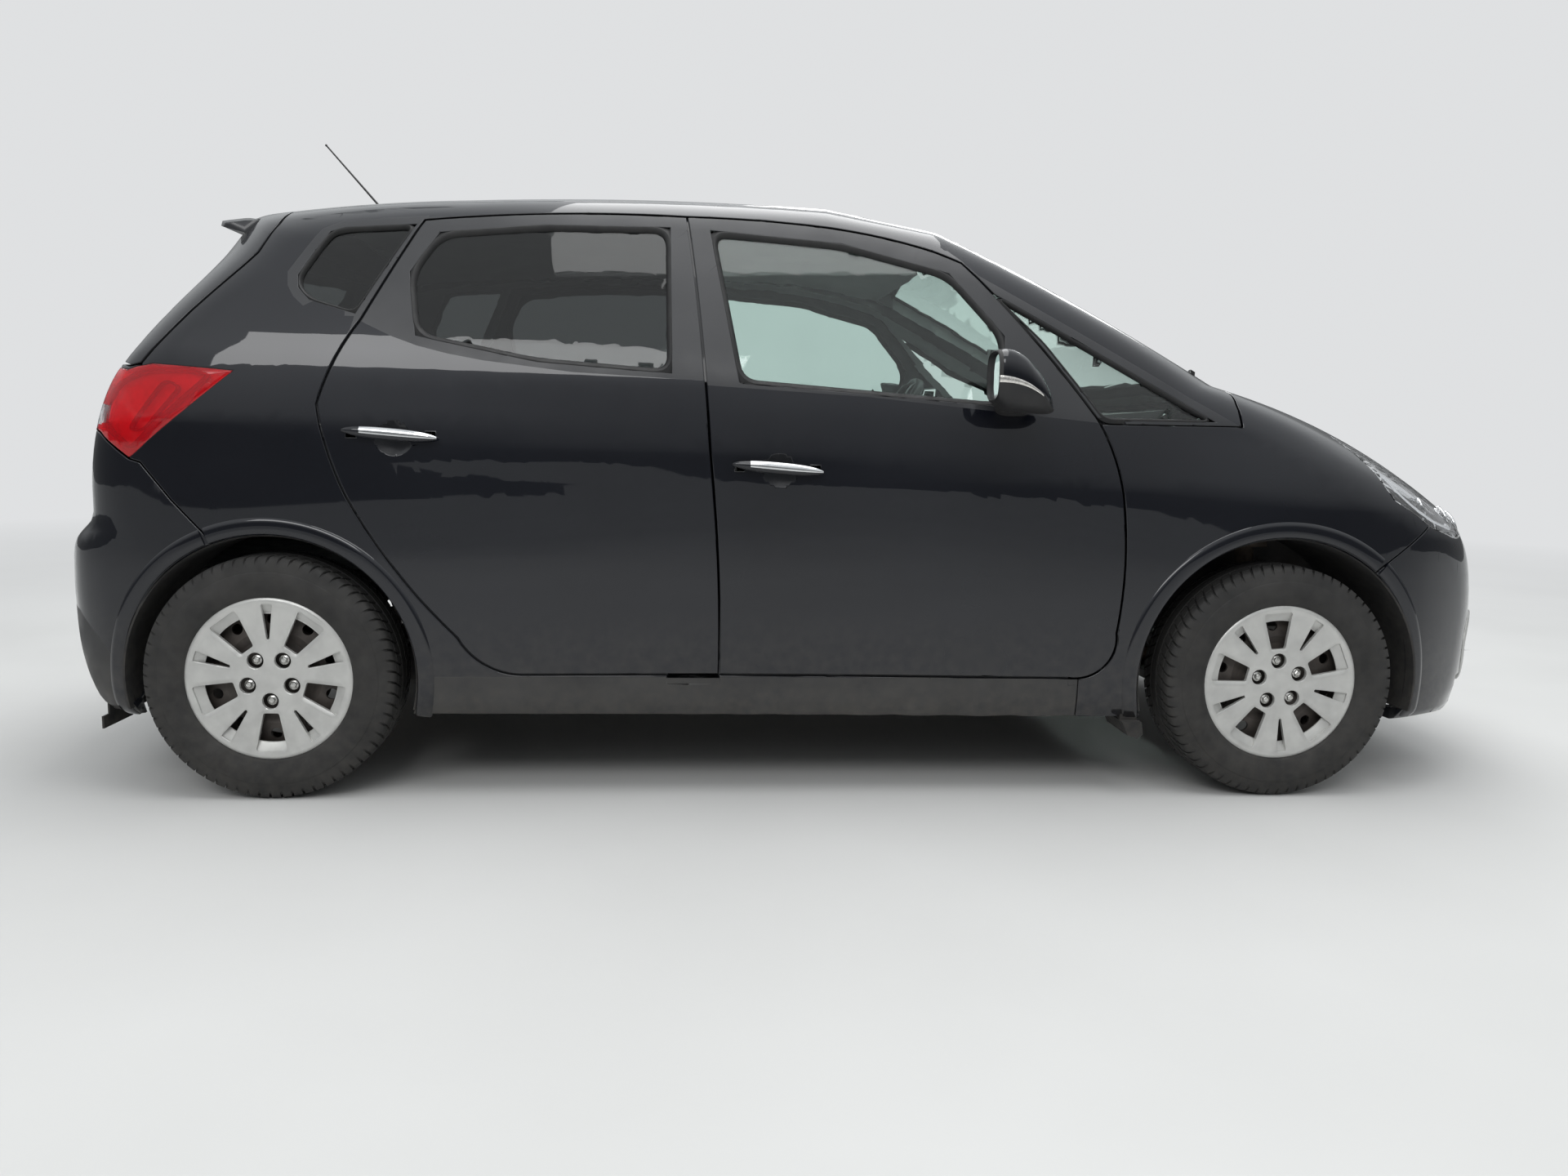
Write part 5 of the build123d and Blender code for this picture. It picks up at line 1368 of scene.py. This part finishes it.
frame_section = [
    (-0.006, -0.004), (-0.006, 0.0030), (-0.003, 0.0040), (0.003, 0.0032), (0.0045, 0.0005), (0.0045, -0.004)]
for name, end, body, z, height in plate_rows:
    mesh = plate(end, z, height)
    mesh.polygons.foreach_set("use_smooth", np.ones(len(mesh.polygons), dtype=bool))
    place_piece(name, mesh, body, [plate_white])
    ring = rounded([(-0.264, z - 0.059), (0.264, z - 0.059), (0.264, z + 0.059), (-0.264, z + 0.059)], 0.012)
    path, out = on_end(evenly(ring, 0.02, True), end, height)
    ahead = np.roll(path, -1, 0) - path
    sense = np.sign(np.sum(np.cross(out, ahead) * (path - path.mean(0))))
    place_piece(
        name + "_frame",
        turn_out(carried("frame", path, out, [(u * sense, v) for u, v in frame_section], True), 50),
        body, [black_plastic])

# Aerial: a rubber foot screwed to the roof's rear edge and a tapered whip raked back over the tailgate.
aim = np.array([-0.197, 0, 0.223])
steps = np.linspace(0.052, 0.292, 50)
share = (steps - 0.052) / 0.24
whip = list(zip(steps, 0.0021 + 0.0012 * (1 - share) + 0.0004 * np.sin(share * 98) ** 2))
foot = [(-0.006, 0.0145), (0.004, 0.0140), (0.012, 0.0120), (0.019, 0.0085), (0.026, 0.0062), (0.034, 0.0054),
        (0.046, 0.0048), (0.050, 0.0040)]
outline = foot + whip + [(0.2935, 0.0032), (0.2965, 0.0034), (0.2985, 0.0022), (0.2990, 0.0004)]
mast = place_piece(
    "aerial_mast", turn_out(turned((-1.292, 0, 1.578), aim, outline, 20), 45), None, [wiper_black], ["roof_aerial"])
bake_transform(mast)

# Hinge pockets: the sill is cut away under each door's hinge, and a plastic flap closes the cut outside.
flap_section = [(-0.0090, -0.006), (-0.0090, -0.0012), (0.0078, -0.0012), (0.0078, -0.006)]


def pocket_flaps(side):
    made = []
    for x0, x1 in ((-0.418, -0.272), (0.636, 0.664)):
        path, out = on_side(evenly([(x0, 0.3078), (x1, 0.3078)], 0.012), side)
        made.append(carried("flap", path, out, flap_section))
    return turn_out(joined("flaps", made), 40)


place_piece("hinge_pocket_flaps", both_sides(pocket_flaps), "body", [sill_plastic])

# Underside and engine bay: pressed steel in sealer, cast iron and aluminium, a plastic tank, an exhaust
# browned by heat, and felt liners in the arches. The steel, the tank and the liners carry road dirt.
cast_iron = finish(
    "cast_iron", ((0.085, 0.070, 0.058), (0.15, 0.12, 0.095)), (0.65, 0.9), patch=26.0, grain=420.0, depth=0.0005,
    Metallic=0.55)
under_steel = finish(
    "under_steel", ((0.022, 0.023, 0.025), (0.050, 0.046, 0.041)), (0.5, 0.8), patch=9.0, grain=240.0, depth=0.0005,
    dust=(0.15, 0.6, 0.5))
cast_aluminium = finish(
    "cast_aluminium", ((0.36, 0.36, 0.35), (0.25, 0.245, 0.235)), (0.45, 0.7), patch=15.0, grain=600.0, depth=0.0004,
    Metallic=0.8)
exhaust_steel = finish(
    "exhaust_steel", ((0.20, 0.165, 0.135), (0.105, 0.066, 0.042)), (0.45, 0.85), patch=13.0, grain=300.0,
    depth=0.0004, Metallic=0.7)
tank_plastic = finish(
    "tank_plastic", ((0.020, 0.020, 0.021), (0.036, 0.035, 0.034)), (0.45, 0.65), patch=8.0, grain=500.0,
    depth=0.0002, dust=(0.1, 0.4, 0.6))
arch_felt = finish(
    "arch_felt", ((0.016, 0.016, 0.017), (0.030, 0.029, 0.028)), (0.85, 0.98), patch=12.0, grain=700.0, depth=0.0008,
    dust=(0.1, 0.9, 0.6))
for node, material in (
        ("floor_pan", under_steel), ("front_structure", under_steel), ("engine_block", cast_aluminium),
        ("front_subframe", under_steel), ("rear_axle_beam", under_steel), ("knuckle_left", cast_iron),
        ("knuckle_right", cast_iron), ("exhaust", exhaust_steel), ("fuel_tank", tank_plastic),
        ("arch_liners", arch_felt)):
    dress(node, material)

# Cabin: a grained dashboard, a wheel bound in leather, and seats of foam under woven cloth, sewn in
# panels. Each pad is foam that swells its cover between the seams.
dash_grain = finish(
    "dash_grain", ((0.030, 0.031, 0.033), (0.042, 0.043, 0.045)), (0.55, 0.72), patch=10.0, grain=1100.0, depth=0.0002)
wheel_leather = finish(
    "wheel_leather", ((0.020, 0.020, 0.021), (0.032, 0.031, 0.031)), (0.42, 0.58), patch=18.0, grain=900.0,
    depth=0.0002, Coat_Weight=0.1)
seat_cloth = finish(
    "seat_cloth", ((0.040, 0.041, 0.045), (0.070, 0.071, 0.076)), (0.85, 0.97), patch=300.0, grain=900.0,
    depth=0.0004, Sheen_Weight=0.5)
seat_side = finish(
    "seat_side", ((0.020, 0.020, 0.022), (0.032, 0.032, 0.035)), (0.82, 0.95), patch=240.0, grain=1200.0,
    depth=0.0003, Sheen_Weight=0.4)
for node, material in (("dashboard", dash_grain), ("steering_wheel", wheel_leather), ("seat_bases", under_steel)):
    dress(node, material)


def pad_block(line, y0, y1, power=5.0, reach=0.05, bow=0.0):
    """A closed pad before it swells: a side-view outline carried across the car, drawn in to both ends
    as (1 - |t|^n)^(1/n), and bowed forwards at its sides."""
    line = evenly(rounded(line, reach), 0.02, True)
    heart_of = line.mean(0)
    t = np.sin(np.linspace(-1, 1, 21) * np.pi / 2) * 0.995
    k = (1 - np.abs(t) ** power) ** (1 / power)
    flat = heart_of + (line - heart_of)[None] * k[:, None, None]
    flat[..., 0] += bow * (t ** 2)[:, None] * (line[:, 0] > heart_of[0])[None]
    y = (y0 + y1) / 2 + (y1 - y0) / 2 * t
    grid = np.stack([flat[..., 0], np.broadcast_to(y[:, None], flat.shape[:2]), flat[..., 1]], -1)
    return turn_out(grid_mesh("pad", grid, False, True, True), 180)


def swollen(mesh, voxel, cap):
    """A pad after its foam has swelled: even small faces, blown up as cloth with a slight pressure, no
    point moved further than the cap."""
    pad = bpy.data.objects.new("pad", mesh)
    bpy.context.scene.collection.objects.link(pad)
    even = pad.modifiers.new("even", "REMESH")
    even.mode = "VOXEL"
    even.voxel_size = voxel
    base = bpy.data.meshes.new_from_object(pad.evaluated_get(bpy.context.evaluated_depsgraph_get()))
    pad.modifiers.clear()
    pad.data = base
    start = read_flat(base.vertices, "co", 3)
    cloth = pad.modifiers.new("cloth", "CLOTH")
    cloth.settings.use_pressure = True
    cloth.settings.uniform_pressure_force = 4.0
    cloth.settings.effector_weights.gravity = 0.0
    cloth.settings.quality = 4
    cloth.collision_settings.use_collision = False
    for i in range(1, 21):
        bpy.context.scene.frame_set(i)
    full = bpy.data.meshes.new_from_object(pad.evaluated_get(bpy.context.evaluated_depsgraph_get()))
    move = read_flat(full.vertices, "co", 3) - start
    length = np.linalg.norm(move, axis=1)[:, None]
    start = start + move * np.minimum(1, cap / np.maximum(length, 1e-9))
    pad.modifiers.clear()
    bpy.context.scene.frame_set(1)
    base.vertices.foreach_set("co", start.ravel())
    base.update()
    bpy.data.objects.remove(pad)
    return base


def sewn(mesh, lines, deep=0.007, wide=0.006):
    """Seams drawn into a pad: each point goes in along its normal by a bell curve of its distance from
    the seam planes that it lies near."""
    p = read_flat(mesh.vertices, "co", 3)
    normal = np.array([v.normal for v in mesh.vertices])
    sink = np.zeros(len(p))
    for place, across, kept in lines:
        d = (p - np.array(place)) @ unit(np.array(across, dtype=float))
        sink = np.maximum(sink, deep * np.exp(-(d / wide) ** 2) * kept(p, normal))
    mesh.vertices.foreach_set("co", (p - normal * sink[:, None]).ravel())
    mesh.polygons.foreach_set("use_smooth", np.ones(len(mesh.polygons), dtype=bool))
    mesh.update()
    return mesh


def flipped(mesh):
    """The same pad on the car's other side."""
    other = mesh.copy()
    p = read_flat(other.vertices, "co", 3) * [1, -1, 1]
    other.vertices.foreach_set("co", p.ravel())
    other.flip_normals()
    return other


def place_pad(name, mesh, node, panel):
    """A pad with plain cloth in its middle panel and a closer weave on its sides."""
    p = read_flat(mesh.polygons, "center", 3)
    mesh.polygons.foreach_set("material_index", np.where(panel(p), 0, 1))
    piece = place_piece(name, mesh, "body", [seat_cloth, seat_side], [node])


def faces_up(p, normal):
    return normal[:, 2] > 0.3


def faces_front(p, normal):
    return normal[:, 0] > 0.2


cushion_line = [
    (-0.262, 0.488), (0.200, 0.488), (0.243, 0.505), (0.252, 0.590), (0.200, 0.622), (-0.170, 0.578),
    (-0.262, 0.585)]
back_line = [(-0.283, 0.618), (-0.205, 0.608), (-0.262, 0.900), (-0.338, 1.135), (-0.408, 1.135), (-0.390, 0.900)]
rest_line = [(-0.343, 1.186), (-0.404, 1.190), (-0.428, 1.300), (-0.378, 1.308)]
voxel, bench_voxel = ((0.006, 0.008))
seat_middle = 0.370
parts = [
    ("seat_cushion", pad_block(cushion_line, 0.140, 0.600), 0.020, [
        ((0, seat_middle - 0.135, 0), (0, 1, 0), faces_up), ((0, seat_middle + 0.135, 0), (0, 1, 0), faces_up),
        ((0.02, 0, 0), (1, 0, 0), faces_up), ((0.150, 0, 0), (1, 0, 0), faces_up)]),
    ("seat_back", pad_block(back_line, 0.150, 0.590, bow=0.018), 0.020, [
        ((0, seat_middle - 0.120, 0), (0, 1, 0), faces_front),
        ((0, seat_middle + 0.120, 0), (0, 1, 0), faces_front),
        ((0, 0, 0.80), (0.2, 0, 1), faces_front), ((0, 0, 1.06), (0.2, 0, 1), faces_front)]),
    ("head_rest", pad_block(rest_line, 0.255, 0.485, 3.5, 0.03), 0.012, [])]
for name, block_mesh, cap, seams in parts:
    right = flipped(sewn(swollen(block_mesh, voxel, cap), seams))
    for title, mesh in (("left", flipped(right)), ("right", right)):
        place_pad(
            name + "_" + title, mesh, "front_seats", lambda p: np.abs(np.abs(p[:, 1]) - seat_middle) < 0.125)

bench_line = [(-0.500, 0.412), (-0.498, 0.555), (-0.560, 0.582), (-0.905, 0.545), (-0.985, 0.545), (-0.960, 0.412)]
bench_back = [(-0.935, 0.575), (-0.915, 0.600), (-1.015, 1.105), (-1.090, 1.105), (-1.018, 0.575)]
bench_seams = [((0, s * 0.19, 0), (0, 1, 0), faces_up) for s in (-1, 1)] + [((-0.60, 0, 0), (1, 0, 0), faces_up)]
back_seams = [((0, s * 0.19, 0), (0, 1, 0), faces_front) for s in (-1, 1)]
back_seams += [((0, 0, 0.98), (0.2, 0, 1), faces_front)]
for name, line, seams in (("bench_cushion", bench_line, bench_seams), ("bench_back", bench_back, back_seams)):
    mesh = sewn(swollen(pad_block(line, -0.545, 0.545, 12.0), bench_voxel, 0.018), seams)
    place_pad(name, mesh, "rear_bench", lambda p: np.abs(p[:, 1]) < 0.50)
small_line = [(x - 0.668, z - 0.112) for x, z in rest_line]
small = swollen(pad_block(small_line, -0.115, 0.115, 3.5, 0.03), voxel, 0.010)
for name, shift in (("left", 0.36), ("middle", 0.0), ("right", -0.36)):
    mesh = small.copy()
    p = read_flat(mesh.vertices, "co", 3) + [0, shift, 0]
    mesh.vertices.foreach_set("co", p.ravel())
    place_pad("rear_rest_" + name, sewn(mesh, []), "rear_bench", lambda p: p[:, 0] > -1.07)


def rest_posts(side):
    """Two chromed posts under each head rest: rods from the back up into the rest."""
    made = []
    for y in (0.320, 0.420):
        made.append(turned(
            (-0.372, side * y, 1.115), (-0.06, 0, 1), [(0, 0.0055), (0.05, 0.0056), (0.1, 0.0055)], 12))
    for y in (0.31, 0.41) + ((-0.05, 0.05) if side > 0 else ()):
        made.append(turned(
            (-1.052, side * y, 1.08), (-0.1, 0, 1), [(0, 0.005), (0.03, 0.0051), (0.06, 0.005)], 12))
    return joined("posts", made)


place_piece("rest_posts", both_sides(rest_posts), "body", [chrome])

# Floor and light: a plain pale sheet, a pale sky and three large soft lamps.
floor_mesh = bpy.data.meshes.new("floor")
floor_mesh.from_pydata([(-40, -40, 0), (40, -40, 0), (40, 40, 0), (-40, 40, 0)], [], [(0, 1, 2, 3)])
floor = bpy.data.objects.new("floor", floor_mesh)
bpy.context.scene.collection.objects.link(floor)
floor_sheet = finish(
    "floor_sheet", ((0.60, 0.60, 0.59), (0.64, 0.64, 0.63)), (0.7, 0.8), patch=0.7, grain=60.0, depth=0.0003)
floor_mesh.materials.append(floor_sheet)
backdrop_grey = (0.74, 0.75, 0.76)
tree = floor_sheet.node_tree
place = tree.nodes.new("ShaderNodeTexCoord")
reach = tree.nodes.new("ShaderNodeVectorMath")
reach.operation = "LENGTH"
tree.links.new(place.outputs["Object"], reach.inputs[0])
seen = tree.nodes.new("ShaderNodeLightPath")
far = times(tree, spread(tree, reach.outputs["Value"], 3.5, 11.0), seen.outputs["Is Camera Ray"])
glow = tree.nodes.new("ShaderNodeEmission")
glow.inputs["Color"].default_value = (*backdrop_grey, 1)
blend = tree.nodes.new("ShaderNodeMixShader")
tree.links.new(far, blend.inputs["Fac"])
tree.links.new(tree.nodes["Principled BSDF"].outputs["BSDF"], blend.inputs[1])
tree.links.new(glow.outputs["Emission"], blend.inputs[2])
tree.links.new(blend.outputs["Shader"], tree.nodes["Material Output"].inputs["Surface"])
world = bpy.data.worlds.new("studio")
bpy.context.scene.world = world
world.use_nodes = True
sky = world.node_tree
place = sky.nodes.new("ShaderNodeTexCoord")
parts = sky.nodes.new("ShaderNodeSeparateXYZ")
rise = sky.nodes.new("ShaderNodeValToRGB")
sky_stops = [(0.0, 0.10), (0.10, 0.14), (0.30, 0.55), (0.60, 1.0)]
for i, (at, level) in enumerate(sky_stops):
    stop = rise.color_ramp.elements[i] if i < 2 else rise.color_ramp.elements.new(at)
    stop.position = at
    stop.color = (level * 0.95, level * 0.98, level, 1)
seen = sky.nodes.new("ShaderNodeLightPath")
backdrop = sky.nodes.new("ShaderNodeBackground")
backdrop.inputs["Color"].default_value = (*backdrop_grey, 1)
choice = sky.nodes.new("ShaderNodeMixShader")
sky.links.new(place.outputs["Generated"], parts.inputs["Vector"])
sky.links.new(parts.outputs["Z"], rise.inputs["Fac"])
sky.links.new(rise.outputs["Color"], sky.nodes["Background"].inputs["Color"])
sky.nodes["Background"].inputs["Strength"].default_value = 0.9
either = sky.nodes.new("ShaderNodeMath")
either.operation = "MAXIMUM"
sky.links.new(seen.outputs["Is Camera Ray"], either.inputs[0])
sky.links.new(seen.outputs["Is Transmission Ray"], either.inputs[1])
sky.links.new(either.outputs["Value"], choice.inputs["Fac"])
sky.links.new(sky.nodes["Background"].outputs["Background"], choice.inputs[1])
sky.links.new(backdrop.outputs["Background"], choice.inputs[2])
sky.links.new(choice.outputs["Shader"], sky.nodes["World Output"].inputs["Surface"])
lamps = [  # name, place, aim, width, height, watts
    ("overhead", (0.3, 0.0, 5.2), (0, 0, 0.6), 6.5, 3.2, 170),
    ("camera_side", (-2.2, -7.0, 5.4), (0, 0, 0.7), 5.0, 2.2, 160),
    ("far_side", (2.6, 7.0, 5.0), (0, 0, 0.8), 5.0, 2.2, 120)]
for name, place, aim, width, height, watts in lamps:
    lamp = bpy.data.lights.new(name, "AREA")
    lamp.shape = "RECTANGLE"
    lamp.size, lamp.size_y, lamp.energy = width, height, watts
    holder = bpy.data.objects.new(name, lamp)
    holder.location = place
    holder.rotation_euler = (Vector(aim) - Vector(place)).to_track_quat("-Z", "Y").to_euler()
    bpy.context.scene.collection.objects.link(holder)
